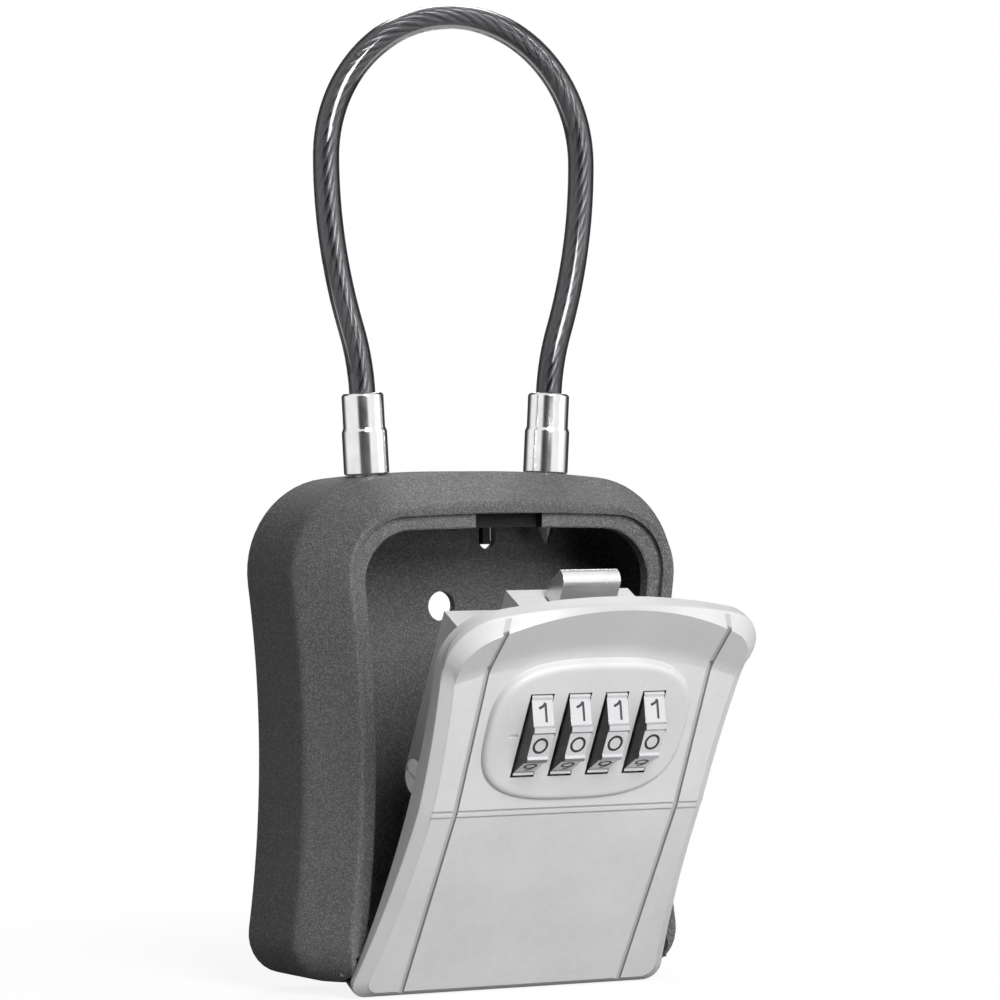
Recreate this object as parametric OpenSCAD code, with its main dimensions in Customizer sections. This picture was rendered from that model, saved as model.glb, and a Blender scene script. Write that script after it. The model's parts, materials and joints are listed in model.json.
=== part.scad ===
// Portable lock box with a drop-down door, a four-dial lock and a cable shackle.
// X runs to the right, the front looks along -Y and Z is up. All sizes are millimetres.
// The origin is the middle of the wall-screw pattern on the back face.

/* [Body] */
// Height of the body on its centre line
body_h = 118; // [116:0.5:120]
// Half the width at the waist
waist_half = 48; // [47:0.25:49]
// Height of the waist above the bottom
waist_z = 52; // [49:1:55]
// Radius of the hollow sides
side_r = 296; // [284:4:312]
// Radius of the crown on top
crown_r = 300; // [280:10:340]
// Radius of the top corners
corner_r = 22; // [20:0.5:24]
// Radius of the bottom corners
foot_r = 9.5; // [8.5:0.5:10.5]
// Depth of the straight part, from the back face to the crease
crease_depth = 24.5; // [23:0.5:26]
// Depth from the back face to the rim
body_depth = 38.7; // [38:0.1:40]
// How far the sides draw in from the crease to the rim
front_draw = 7.6; // [7:0.1:8]
// Thickness of the side and top walls
body_wall = 4.2; // [3.6:0.1:4.6]
// Thickness of the back wall
back_wall = 2.4; // [2:0.1:3]
// Thickness of the bottom wall
floor_wall = 2; // [1.6:0.1:2.2]

/* [Wall mount] */
// Height of the upper wall screw above the bottom
screw_top_z = 85.7; // [84:0.1:88]
// Distance between the two wall screws
screw_pitch = 54; // [50:1:56]
// Radius of the wall screw holes
screw_hole_r = 3.6; // [2.5:0.1:4]

/* [Door] */
// Angle at which the door stands open
open_angle = 28; // [10:1:28]
// Thickness of the door's front wall
door_wall = 2; // [1.6:0.1:2.4]
// Thickness of the door's side walls
door_side_wall = 1.8; // [1.5:0.1:2.2]
// Gap between the door's edge and the rabbet of the rim
door_gap = 0.5; // [0.4:0.05:0.8]
// How far the crest of the door stands out of the rim
crest_proud = 4.3; // [3.8:0.1:4.8]
// Distance of the crest line below the top of the body
crest_drop = 65.5; // [62:0.5:70]
// How far the brow over the dials stands out of the rim
brow_proud = 7.3; // [6.8:0.1:8]
// Radius of the hinge pins
pin_r = 1.5; // [1.2:0.1:1.8]

/* [Dials] */
// Distance of the dial spindle below the top of the body
dial_drop = 44.8; // [44:0.1:46]
// Distance between two dials
dial_pitch = 9.7; // [9.5:0.05:10]
// Width of a dial
dial_w = 5.3; // [5:0.05:5.4]
// Radius from the spindle to a digit's flat
dial_flat_r = 12.1; // [11.8:0.05:12.3]
// Radius to the tips of the ridges between digits
dial_tip_r = 13; // [12.9:0.05:13.1]
// Width of a window
window_w = 6.1; // [6:0.05:6.2]
// Height of a window
window_h = 21.8; // [21.5:0.1:22.4]
// Radius of the dial spindle
spindle_r = 1.6; // [1.4:0.05:1.8]

/* [Latch] */
// Width of the latch bolt
bolt_w = 14.9; // [13:0.1:15.5]
// Thickness of the latch bolt
bolt_t = 6; // [5.6:0.1:6.2]
// Height of the bolt above the lower edge of the lip
bolt_catch = 1.6; // [1.2:0.1:1.8]
// Travel of the latch bolt
bolt_stroke = 2.6; // [2.4:0.1:2.8]
// Sideways travel that frees the dials for a new code
reset_travel = 1.7; // [1.5:0.05:1.7]

/* [Shackle] */
// Distance of each shackle leg from the middle
leg_x = 24.1; // [23:0.1:25]
// Distance of the shackle from the back face
leg_depth = 10.5; // [10:0.1:11.5]
// Radius of the cable over its sheath
cable_r = 3.1; // [2.8:0.05:3.3]
// Radius of the steel core
core_r = 2.1; // [1.8:0.05:2.2]
// Angle at which the ferrules lean outwards
leg_lean = 3.2; // [2:0.1:4]
// Angle at which the cable swells outwards
swell_angle = 18; // [14:1:20]
// Radius of the cable's bend above the ferrules
swell_r = 60; // [50:2:70]
// Radius of the cable's long bend back to upright
return_r = 130; // [110:5:150]
// Radius of the lower part of a ferrule
ferrule_r = 5.35; // [5:0.05:5.6]
// Height of a ferrule
ferrule_h = 19.2; // [18:0.2:21]
// Radius of the shackle stems
stem_r = 3; // [2.8:0.05:3.1]

/* [Hidden] */
$fn = 64;

// Clearances
fit_gap = 0.1;
flat_gap = 0.3;
press_gap = 0.03;
cut = 1;

// Body planes and levels
crest_z = body_h - crest_drop;
dial_z = body_h - dial_drop;
rim_y = -body_depth;
crease_y = -crease_depth;
lip_face_y = rim_y + 2.5;
lip_back_y = rim_y + 5.9;
rim_land = 0.5;
rim_bevel_w = 2.5;
rim_bevel_d = 0.8;
rim_top_z = body_h - 7;
rabbet_top_z = body_h - 9.7;
lip_edge_z = body_h - 13.2;
lip_w = 2.9;
lip_low_z = 6.5;
rim_corner_r = corner_r - 6.5;
rabbet_corner_r = rim_corner_r - rim_bevel_w;
lip_corner_r = 12;
rabbet_crown_r = 560;
lip_crown_r = 900;
cavity_foot_r = 6;
cavity_draw = 3.8;

// Keeper in the middle of the lip
notch_half = 8.8;
notch_top_z = lip_edge_z + 3.3;
keeper_front_y = rim_y + 5.3;
keeper_back_y = rim_y + 8.7;
keeper_half = notch_half + 1.7;

// Hinge
hinge_y = rim_y + 10.2;
hinge_z = 7;
cheek_r = 9;
floor_front_y = rim_y + 10.95;
cheek_inner_x = 41.5;
boss_inner_x = 34;
boss_front_y = rim_y + 4.9;
boss_back_y = hinge_y + 5.3;
boss_low_z = 2.1;
boss_step_z = 7.4;
boss_r = 4.8;
ear_outer_x = boss_inner_x - 0.4;
ear_inner_x = ear_outer_x - 3.4;
ear_r = 3.8;

// Shackle
leg_y = -leg_depth;
leg_base_z = body_h - leg_x * leg_x / (2 * crown_r) + flat_gap;
well_r = stem_r + 0.06;
well_boss_r = 5.5;
well_boss_z = body_h - 8.8;
stem_top_z = leg_base_z + 4.2;
stem_ring_z = body_h - 13.6;
stem_tip_z = body_h - 17.6;
groove_r = 2.05;
catch_z = body_h - 10.7;
catch_t = 1.5;
catch_travel = 2;
catch_slot_x = 10.3;
catch_slot_w = 4.4;
catch_slot_z = 99.2;
ferrule_socket = 5;
cable_socket = 8;

// Door planes and levels, with the door closed
door_inset = front_draw + rim_bevel_w + door_gap;
door_bevel_w = 2.8;
door_bevel_d = 2;
door_top_z = body_h - 10.9;
door_crown_r = 150;
door_corner_r = 12;
door_foot_r = 4;
brow_crown_r = 72;
brow_corner_r = 10;
brow_edge_z = door_top_z - 0.5;
brow_mid_z = body_h - 114.3;
brow_r0 = 90;
brow_r1 = brow_edge_z - brow_mid_z;
seat_y = lip_face_y - 0.2;
brow_back_y = rim_y - 2.5;
seat_drop = 2.7;
flange_back_y = hinge_y - 2.9;
flange_low_z = 0.3;
flange_t = 1.2;
face_foot_proud = 0.6;
face_foot_z = 1.9;
face_top_z = body_h - 28;
face_top_proud = 2.7;
groove_x = 28.9;
groove_w = 0.9;
groove_d = 0.55;
crest_groove_h = 0.5;
crest_groove_gap = 0.8;

// Dial pad and windows
pad_y = rim_y - 5.3;
pad_half_w = 25;
pad_half_h = 17.2;
pad_power = 3.6;
pad_round = 0.8;
pad_z = dial_z + 0.3;
dial_y = pad_y + 8.1;
flat_half_angle = 13.5;
tip_half_angle = 2.5;
window_swing_r = dial_tip_r + 0.35;
window_steps = [-1.5, -0.5, 0.5, 1.5];
mark_w = 2.2;
mark_h = 0.9;
mark_d = 0.35;

// Sleeves and comb, measured from the middle of their dial
flange_r = 6.3;
hub_r = 4.3;
lug_r = 4.9;
lug_w = 1;
relief_r = 5.1;
gate_r = 3.7;
gate_w = 2.4;
comb_x0 = dial_w / 2 + 0.25;
comb_x1 = comb_x0 + 0.8;
flange_x0 = comb_x1 + fit_gap;
flange_x1 = flange_x0 + 1.3;
tooth_w = 1;
tooth_t = 1.6;
comb_z = dial_z - 19;
comb_h = 2.8;
comb_y0 = dial_y + 3.9;
comb_t = 2.5;

// Lock case
case_half = 30.6;
case_wall = 1.2;
case_low_z = dial_z - 22.2;
case_back_y = dial_y + 14.7;
plate_t = 1.2;
shelf_z = dial_z + dial_tip_r + 0.4 + bolt_stroke;
ear_low_z = shelf_z - 0.8;
ear_top_z = ear_low_z + 2.6;
case_top_z = ear_top_z + flat_gap + case_wall;
block_half = 16;
block_top_z = lip_edge_z - 7.2;
post_x = case_half - 4.6;
post_z = dial_z - 8.7;
post_r = 2.4;
screw_r = 1.2;
case_screw_len = 10;

// Latch
bolt_front_y = keeper_back_y + 0.4;
bolt_back_y = bolt_front_y + bolt_t;
bolt_top_z = lip_edge_z + bolt_catch;
bolt_round = 2.6;
ramp_h = 5.2;
slide_t = 1.6;
slide_y = bolt_front_y - fit_gap - slide_t;
spring_x = case_half - 5.4;
spring_y = slide_y + slide_t / 2;
spring_seat_z = dial_z + 3.4;
spring_coil_r = 2.4;
spring_wire_r = 0.35;
spring_curls = 6;

// One arc of points, from step i0 to step i1 of n
function arc(c, r, a0, a1, n, i0, i1) =
  [for (i = [i0:i1]) c + r * [cos(a0 + (a1 - a0) * i / n), sin(a0 + (a1 - a0) * i / n)]];

// Point at distance ra from a and rb from b, on the upper left of the line between them
function meet(a, ra, b, rb) =
  let (v = b - a, d = norm(v), t = (ra * ra - rb * rb + d * d) / (2 * d), h = sqrt(ra * ra - t * t))
  a + v * (t / d) - h * [-v[1], v[0]] / d;

// Right half of an hourglass outline: foot arc, hollow side, corner arc and crown, all tangent
function half_outline(inset, top_z, crown, corner, foot, foot_z) =
  let (
    a = [waist_half + side_r, waist_z],
    rs = side_r + inset,
    b = [0, top_z - crown],
    c = meet(a, rs + corner, b, crown - corner),
    dz = foot_z + foot,
    d = [a[0] - sqrt(pow(rs + foot, 2) - pow(a[1] - dz, 2)), dz],
    up = atan2(c[1] - a[1], c[0] - a[0]),
    low = atan2(d[1] - a[1], d[0] - a[0]) + 360,
    top = atan2(c[1] - b[1], c[0] - b[0])
  )
  concat(
    arc(d, foot, -90, low - 180, 5, 0, 5),
    arc(a, rs, low, up, 12, 1, 11),
    arc(c, corner, up - 180, top, 7, 0, 7),
    arc(b, crown, top, 90, 6, 1, 6)
  );

function mirrored(half) = concat(half, [for (i = [len(half) - 2:-1:0]) [-half[i][0], half[i][1]]]);

function outline(inset, top_z, crown, corner, foot, foot_z) =
  mirrored(half_outline(inset, top_z, crown, corner, foot, foot_z));

function ring(points, y) = [for (p = points) [p[0], y, p[1]]];

// Rounded rectangle with one smooth curve, as on the pad round the dials
function squircle(a, b, mid_z, n) =
  [for (i = [0:n - 1]) let (c = cos(360 * i / n), s = sin(360 * i / n))
    [a * sign(c) * pow(abs(c), 2 / pad_power), mid_z + b * sign(s) * pow(abs(s), 2 / pad_power)]];

// Triangles between ring k and ring l of n points each
function band(n, k, l) = [for (i = [0:n - 1]) let (j = (i + 1) % n)
  each [[k * n + i, l * n + i, l * n + j], [k * n + i, l * n + j, k * n + j]]];

// Strips across a ring of n points, each from one side of the outline to the other
function strips(n) = [for (i = [0:ceil(n / 2) - 2]) let (j = n - 1 - i)
  i + 2 == j ? [i, i + 1, j] : [i, i + 1, j - 1, j]];

// Solid between rings of points, the first ring at the back and the last one in front
module skin(rings) {
  n = len(rings[0]);
  m = len(rings);
  points = [for (r = rings) for (p = r) p];
  front = [for (f = strips(n)) [for (k = [len(f) - 1:-1:0]) (m - 1) * n + f[k]]];
  sides = [for (k = [0:m - 2]) each band(n, k, k + 1)];
  polyhedron(points, concat(strips(n), sides, front));
}

// Open tube between outer and inner rings of equal count
module hollow_skin(outer, inner) {
  m = len(outer);
  rings = concat(outer, [for (k = [m - 1:-1:0]) inner[k]]);
  points = [for (r = rings) for (p = r) p];
  polyhedron(points, [for (k = [0:2 * m - 1]) each band(len(outer[0]), k, (k + 1) % (2 * m))]);
}

// Outline in X and Z, drawn from the plane y0 back to the plane y1
module upright(points, y0, y1) {
  translate([0, y1, 0]) rotate([90, 0, 0]) linear_extrude(y1 - y0) polygon(points);
}

// Outline in Y and Z, drawn from the plane x0 to the plane x1
module across(points, x0, x1) {
  translate([x0, 0, 0]) rotate([90, 0, 90]) linear_extrude(x1 - x0) polygon(points);
}

module block(low, high) {
  translate(low) cube(high - low);
}

module rod_x(r, x0, x1, y, z) {
  translate([x0, y, z]) rotate([0, 90, 0]) cylinder(r = r, h = x1 - x0);
}

module rod_y(r, y0, y1, x, z) {
  translate([x, y1, z]) rotate([90, 0, 0]) cylinder(r = r, h = y1 - y0);
}

module rod_z(r, z0, z1, x, y) {
  translate([x, y, z0]) cylinder(r = r, h = z1 - z0);
}

module tube_x(r_in, r_out, x0, x1, y, z) {
  difference() {
    rod_x(r_out, x0, x1, y, z);
    rod_x(r_in, x0 - cut, x1 + cut, y, z);
  }
}

module both_sides() {
  children();
  mirror([1, 0, 0]) children();
}

module in_place() {
  translate([0, 0, screw_pitch / 2 - screw_top_z]) children();
}

// Turns what is drawn for the closed door to where the open door stands
module on_door() {
  in_place() translate([0, hinge_y, hinge_z]) rotate([open_angle, 0, 0]) translate([0, -hinge_y, -hinge_z])
    children();
}

// Body outlines
function body_line(inset) = outline(inset, body_h - inset, crown_r - inset, corner_r - inset, foot_r, 0);
function rim_line(inset) =
  outline(front_draw + inset, rim_top_z - inset, crown_r - 7, rim_corner_r - inset, foot_r, 0);
function rabbet_line() =
  outline(front_draw + rim_bevel_w, rabbet_top_z, rabbet_crown_r, rabbet_corner_r, door_foot_r, 0);
function lip_line() =
  outline(front_draw + rim_bevel_w + lip_w, lip_edge_z, lip_crown_r, lip_corner_r, cavity_foot_r, -20);
function cavity_line(inset) =
  outline(inset, body_h - inset, crown_r - inset, corner_r - inset, cavity_foot_r, floor_wall);

module body_outer() {
  skin([ring(body_line(0), 0), ring(body_line(0), crease_y), ring(rim_line(0), rim_y)]);
}

module cavity() {
  skin([
    ring(cavity_line(body_wall), -back_wall),
    ring(cavity_line(body_wall), crease_y),
    ring(cavity_line(body_wall + cavity_draw), lip_back_y)
  ]);
}

// Bevel inside the rim, rabbet for the door's edge, and the opening inside the lip
module front_opening() {
  upright(lip_line(), rim_y - cut, lip_back_y + cut);
  upright(rabbet_line(), rim_y - cut, lip_face_y);
  skin([
    ring(rabbet_line(), rim_y + rim_bevel_d),
    ring(rim_line(rim_land), rim_y),
    ring(rim_line(rim_land), rim_y - cut)
  ]);
  block([-cheek_inner_x, rim_y - cut, -cut], [cheek_inner_x, floor_front_y, lip_low_z]);
}

// Rounds the lower front corners of the side walls, seen from the side
module cheek_round() {
  difference() {
    block([-body_h, rim_y - cut, -cut], [body_h, rim_y + cheek_r, cheek_r]);
    rod_x(cheek_r, -body_h - cut, body_h + cut, rim_y + cheek_r, cheek_r);
  }
}

// Carries one end of the hinge, inside the cheek
module hinge_boss() {
  block([boss_inner_x, boss_front_y, boss_low_z], [cheek_inner_x + 2, boss_back_y, boss_step_z]);
  rod_x(boss_r, boss_inner_x, cheek_inner_x + 2, hinge_y, hinge_z);
}

module keeper() {
  block([-keeper_half, keeper_front_y, lip_edge_z], [keeper_half, keeper_back_y, rim_top_z + 1]);
}

module notch() {
  block([-notch_half, lip_face_y - cut, lip_edge_z - cut], [notch_half, keeper_front_y, notch_top_z]);
}

module catch_slot() {
  r = catch_slot_w / 2;
  x = catch_slot_x + r;
  rod_y(r, -back_wall - cut, cut, x, catch_slot_z + r);
  block([x - r, -back_wall - cut, catch_slot_z + r], [x + r, cut, catch_z + catch_t + 2]);
}

module housing() {
  in_place() color("dimgray") difference() {
    union() {
      difference() {
        body_outer();
        cavity();
        front_opening();
        notch();
        cheek_round();
      }
      difference() {
        keeper();
        notch();
      }
      both_sides() hinge_boss();
      both_sides() rod_z(well_boss_r, well_boss_z, body_h - body_wall, leg_x, leg_y);
    }
    both_sides() rod_x(pin_r + press_gap, ear_outer_x, cheek_inner_x - 0.5, hinge_y, hinge_z);
    both_sides() rod_z(well_r, well_boss_z - cut, body_h + cut, leg_x, leg_y);
    rod_y(screw_hole_r, -back_wall - cut, cut, 0, screw_top_z);
    rod_y(screw_hole_r, -back_wall - cut, cut, 0, screw_top_z - screw_pitch);
    catch_slot();
  }
}

module hinge_pins() {
  in_place() color("silver") both_sides()
    rod_x(pin_r, ear_inner_x - 0.4, cheek_inner_x - 0.6, hinge_y, hinge_z);
}

// Puts a child that stands at the origin on a leg of the shackle, leaning outwards
module on_leg() {
  translate([leg_x, leg_y, leg_base_z]) rotate([0, leg_lean, 0]) children();
}

module ferrule() {
  on_leg() rotate_extrude() polygon([
    [stem_r + 0.4, 0], [ferrule_r - 0.35, 0], [ferrule_r, 0.35], [ferrule_r, 10.1],
    [ferrule_r - 0.4, 11.1], [ferrule_r - 0.4, ferrule_h - 0.5], [ferrule_r - 0.9, ferrule_h],
    [cable_r + fit_gap, ferrule_h], [cable_r + fit_gap, ferrule_h - cable_socket],
    [0, ferrule_h - cable_socket], [0, ferrule_socket], [stem_r + 0.4, ferrule_socket]
  ]);
}

module ferrule_left() {
  in_place() color("gainsboro") mirror([1, 0, 0]) ferrule();
}

module ferrule_right() {
  in_place() color("gainsboro") ferrule();
}

// Stem of the free leg: a cone that finds its well, and a groove for the catch
module stem_right() {
  in_place() color("silver") translate([leg_x, leg_y, 0]) rotate_extrude() polygon([
    [0, stem_tip_z], [0.3, stem_tip_z], [groove_r, stem_ring_z], [stem_r, stem_ring_z],
    [stem_r, catch_z - 0.2], [groove_r, catch_z - 0.2], [groove_r, catch_z + catch_t + 0.2],
    [stem_r, catch_z + catch_t + 0.2], [stem_r, stem_top_z], [0, stem_top_z]
  ]);
}

// Stem of the captive leg, with a groove for its retaining clip
module stem_left() {
  in_place() color("silver") translate([-leg_x, leg_y, 0]) rotate_extrude() polygon([
    [0, well_boss_z - 2.4], [stem_r - 0.5, well_boss_z - 2.4], [stem_r, well_boss_z - 1.9],
    [stem_r, well_boss_z - 1.2], [groove_r, well_boss_z - 1.2], [groove_r, well_boss_z - 0.2],
    [stem_r, well_boss_z - 0.2], [stem_r, stem_top_z], [0, stem_top_z]
  ]);
}

module stem_clip() {
  in_place() color("slategray") difference() {
    rod_z(stem_r + 1.6, well_boss_z - 1.1, well_boss_z - 0.3, -leg_x, leg_y);
    rod_z(groove_r + fit_gap, well_boss_z - 2, well_boss_z, -leg_x, leg_y);
    block([-leg_x - 1.2, leg_y - 6, well_boss_z - 2], [-leg_x + 1.2, leg_y, well_boss_z]);
  }
}

// Sliding plate whose keyhole grips the groove of the free stem; its tongue stands in the wall slot
module shackle_catch() {
  x0 = catch_slot_x + 0.2;
  in_place() color("dimgray") difference() {
    union() {
      block([x0, leg_y - 4.6, catch_z], [leg_x + 4.2, -back_wall - 0.2, catch_z + catch_t]);
      block([x0, -back_wall - 0.3, catch_slot_z + 1.2], [x0 + 2, -0.4, catch_z + catch_t]);
      block([x0, -back_wall - 1.6, catch_slot_z + 1.2], [x0 + 2, -back_wall - 0.2, catch_z + 0.1]);
    }
    rod_z(stem_r + flat_gap, catch_z - cut, catch_z + catch_t + cut, leg_x - catch_travel, leg_y);
    rod_z(groove_r + 0.35, catch_z - cut, catch_z + catch_t + cut, leg_x, leg_y);
    block(
      [leg_x - catch_travel, leg_y - groove_r - 0.35, catch_z - cut],
      [leg_x, leg_y + groove_r + 0.35, catch_z + catch_t + cut]
    );
  }
}

// Stations along the right half of the shackle, each [x, z, angle from upright]
function leg_stations() =
  let (
    foot = [leg_x, leg_base_z] + ferrule_h * [sin(leg_lean), cos(leg_lean)],
    low = foot - (cable_socket - 0.2) * [sin(leg_lean), cos(leg_lean)],
    swell = foot + swell_r * [cos(leg_lean), -sin(leg_lean)],
    knee = swell + swell_r * [-cos(swell_angle), sin(swell_angle)],
    back = knee + return_r * [-cos(swell_angle), sin(swell_angle)]
  )
  concat(
    [[low[0], low[1], leg_lean]],
    [for (i = [0:4]) let (a = leg_lean + (swell_angle - leg_lean) * i / 4)
      [swell[0] - swell_r * cos(a), swell[1] + swell_r * sin(a), a]],
    [for (i = [1:4]) let (a = swell_angle * (1 - i / 4))
      [back[0] + return_r * cos(a), back[1] - return_r * sin(a), a]]
  );

// Stations of the whole shackle, from the right ferrule over the top to the left one
function cable_stations() =
  let (right = leg_stations(), n = len(right), top = right[n - 1])
  concat(
    right,
    [for (i = [1:23]) let (t = 180 * i / 24) [top[0] * cos(t), top[1] + top[0] * sin(t), -t]],
    [for (i = [n - 1:-1:0]) [-right[i][0], right[i][1], -180 - right[i][2]]]
  );

function cable_rings(r, sides) = [
  for (s = cable_stations()) [
    for (k = [0:sides - 1]) let (u = r * cos(360 * k / sides))
      [s[0] + u * cos(s[2]), leg_y + r * sin(360 * k / sides), s[1] - u * sin(s[2])]
  ]
];

module cable_core() {
  in_place() color("silver") skin(cable_rings(core_r, 12));
}

module cable_sheath() {
  in_place() color("darkslategray") hollow_skin(cable_rings(cable_r, 12), cable_rings(core_r + fit_gap, 12));
}

// Front face of the closed door: two planes that meet in the crest
function crest_y() = rim_y - crest_proud;
function face_y(z) = z < crest_z
  ? rim_y - face_foot_proud - (crest_proud - face_foot_proud) * (z - face_foot_z) / (crest_z - face_foot_z)
  : crest_y() + (crest_proud - face_top_proud) * (z - crest_z) / (face_top_z - crest_z);
// The brow over the dials is a cone round an axis along Y
function brow_foot_y() = face_y(face_top_z);
function brow_y(r) =
  brow_foot_y() - (r - brow_r0) * (brow_proud - face_top_proud) / (brow_r1 - brow_r0);
function front_y(x, z) =
  let (r = norm([x, z - brow_mid_z])) r > brow_r0 ? min(face_y(z), brow_y(r)) : face_y(z);

function door_line() =
  outline(door_inset, door_top_z, door_crown_r, door_corner_r, door_foot_r, flange_low_z);
function door_face_line() =
  outline(door_inset + door_bevel_w, brow_edge_z, brow_crown_r, brow_corner_r, 3, flange_low_z + 2.4);
function door_seat_line() =
  outline(door_inset, door_top_z - seat_drop, door_crown_r, door_corner_r, door_foot_r, flange_low_z);
function door_hollow_line() =
  outline(door_inset + door_side_wall, door_top_z - seat_drop - door_side_wall, door_crown_r,
    door_corner_r - door_side_wall, 3, flange_low_z + flange_t + 0.6);

// Door edge with its bevelled border, open ended in front so that the face cuts it
module door_edge() {
  line = door_line();
  face = door_face_line();
  edge_y = [for (p = face) front_y(p[0], p[1])];
  count = [0:len(line) - 1];
  reach = 1.5;
  out = [for (i = count) face[i] + reach * (face[i] - line[i])];
  skin([
    ring(line, flange_back_y + cut),
    [for (i = count) [line[i][0], edge_y[i] + door_bevel_d, line[i][1]]],
    [for (i = count) [out[i][0], edge_y[i] - reach * door_bevel_d, out[i][1]]],
    ring(out, rim_y - brow_proud - 6)
  ]);
}

module door_profile() {
  top = body_h;
  across([
    [flange_back_y, -cut], [flange_back_y, flange_low_z + flange_t], [seat_y, flange_low_z + flange_t + 0.6],
    [seat_y, top], [face_y(top), top], [crest_y(), crest_z], [face_y(-cut), -cut]
  ], -body_h, body_h);
}

module brow() {
  outer = brow_r1 + 10;
  translate([0, 0, brow_mid_z]) rotate([90, 0, 0]) rotate_extrude($fn = 180) polygon([
    [brow_r0, -brow_foot_y() - 0.5], [brow_r0, -brow_foot_y()], [outer, -brow_y(outer)],
    [outer, -brow_foot_y() - 0.5]
  ]);
}

module door_hollow() {
  low = flange_low_z + flange_t + 0.6;
  top = door_top_z;
  intersection() {
    upright(door_hollow_line(), rim_y - brow_proud, flange_back_y + cut);
    across([
      [flange_back_y + cut, low], [flange_back_y + cut, top], [face_y(top) + door_wall, top],
      [crest_y() + door_wall, crest_z], [face_y(low) + door_wall, low]
    ], -body_h, body_h);
  }
}

// Steps the top edge down behind the brow, where the door passes under the rim
module seat_step() {
  translate([0, flange_back_y + cut, 0]) rotate([90, 0, 0])
    linear_extrude(flange_back_y + cut - brow_back_y) difference() {
      translate([-body_h / 2, crest_z]) square([body_h, body_h]);
      polygon(door_seat_line());
    }
}

module hinge_ear() {
  difference() {
    union() {
      rod_x(ear_r, ear_inner_x, ear_outer_x, hinge_y, hinge_z);
      across([
        [hinge_y, hinge_z - ear_r], [hinge_y, hinge_z + ear_r], [face_y(16) + 1, hinge_z + 9],
        [face_y(3) + 1, hinge_z - ear_r]
      ], ear_inner_x, ear_outer_x);
    }
    rod_x(pin_r + fit_gap, ear_inner_x - cut, ear_outer_x + cut, hinge_y, hinge_z);
  }
}

// Raised pad round the windows
module pad() {
  skin([
    ring(squircle(pad_half_w + pad_round, pad_half_h + pad_round, pad_z, 56), crest_y() + 1.9),
    ring(squircle(pad_half_w, pad_half_h, pad_z, 56), pad_y + pad_round / 2),
    ring(squircle(pad_half_w - pad_round, pad_half_h - pad_round, pad_z, 56), pad_y)
  ]);
}

// One window, widened inside by the swing of its dial
module window(x) {
  x0 = x - window_w / 2;
  x1 = x + window_w / 2;
  block([x0, pad_y - cut, dial_z - window_h / 2], [x1, dial_y - dial_flat_r / 2, dial_z + window_h / 2]);
  rod_x(window_swing_r, x0, x1, dial_y, dial_z);
}

module index_mark(x) {
  block(
    [x - mark_w / 2, pad_y - cut, dial_z - mark_h / 2],
    [x + mark_w / 2, pad_y + mark_d, dial_z + mark_h / 2]
  );
}

module face_groove() {
  x0 = groove_x - groove_w / 2;
  x1 = groove_x + groove_w / 2;
  across([
    [face_y(-cut) - 1, -cut], [crest_y() - 1, crest_z], [face_y(face_top_z) - 1, face_top_z],
    [face_y(face_top_z) + groove_d, face_top_z], [crest_y() + groove_d, crest_z],
    [face_y(-cut) + groove_d, -cut]
  ], x0, x1);
  intersection() {
    translate([0, 0, brow_mid_z]) rotate([90, 0, 0]) rotate_extrude($fn = 180) polygon([
      [brow_r0 - 0.5, -brow_foot_y() - groove_d], [brow_r0 - 0.5, -brow_foot_y() + 1],
      [brow_r1 + 3, -brow_y(brow_r1 + 3) + 1], [brow_r1 + 3, -brow_y(brow_r1 + 3) - groove_d]
    ]);
    block([x0, rim_y - 20, crest_z], [x1, rim_y + 20, body_h]);
  }
}

module crest_grooves() {
  for (s = [-1, 1])
    block(
      [-body_h, crest_y() - cut, crest_z + s * crest_groove_gap - crest_groove_h / 2],
      [body_h, crest_y() + 0.4, crest_z + s * crest_groove_gap + crest_groove_h / 2]
    );
}

module door_cover() {
  on_door() color("lightgray") difference() {
    union() {
      difference() {
        intersection() {
          door_edge();
          door_profile();
        }
        door_hollow();
        seat_step();
      }
      intersection() {
        door_edge();
        brow();
      }
      pad();
      both_sides() hinge_ear();
      both_sides() rod_y(post_r, face_y(post_z) + 1, case_back_y - fit_gap, post_x, post_z);
    }
    for (s = window_steps) window(s * dial_pitch);
    for (s = [-2, -1, 0, 1, 2]) index_mark(s * dial_pitch);
    rod_x(flange_r + 0.4, -2.2 * dial_pitch, 2.4 * dial_pitch, dial_y, dial_z);
    both_sides() face_groove();
    crest_grooves();
    both_sides() rod_y(screw_r + 0.05, case_back_y - case_screw_len - 2, case_back_y + cut, post_x, post_z);
  }
}

// Outline of the lock case; w draws the wall in
function case_line(w) = [
  [-case_half + w, case_low_z + w], [case_half - w, case_low_z + w], [case_half - w, case_top_z - w],
  [block_half + block_top_z - case_top_z - w * 0.4, case_top_z - w],
  [block_half - w * 0.4, block_top_z - w], [-block_half + w, block_top_z - w],
  [-block_half + w, case_top_z - w], [-case_half + w, case_top_z - w]
];

// Space behind the door's front wall
module behind_face(gap) {
  low = case_low_z - cut;
  top = block_top_z + cut;
  across([
    [face_y(low) + door_wall + gap, low], [face_y(crest_z) + door_wall + gap, crest_z],
    [face_y(top) + door_wall + gap, top], [case_back_y, top], [case_back_y, low]
  ], -case_half - cut, case_half + cut);
}

module spring_seat() {
  block([spring_x - spring_coil_r - 0.7, spring_y - 3, spring_seat_z - 2],
    [case_half - case_wall + 0.2, spring_y + 3, spring_seat_z]);
  rod_z(spring_coil_r - spring_wire_r - 0.45, spring_seat_z - 1, spring_seat_z + 4, spring_x, spring_y);
}

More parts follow.
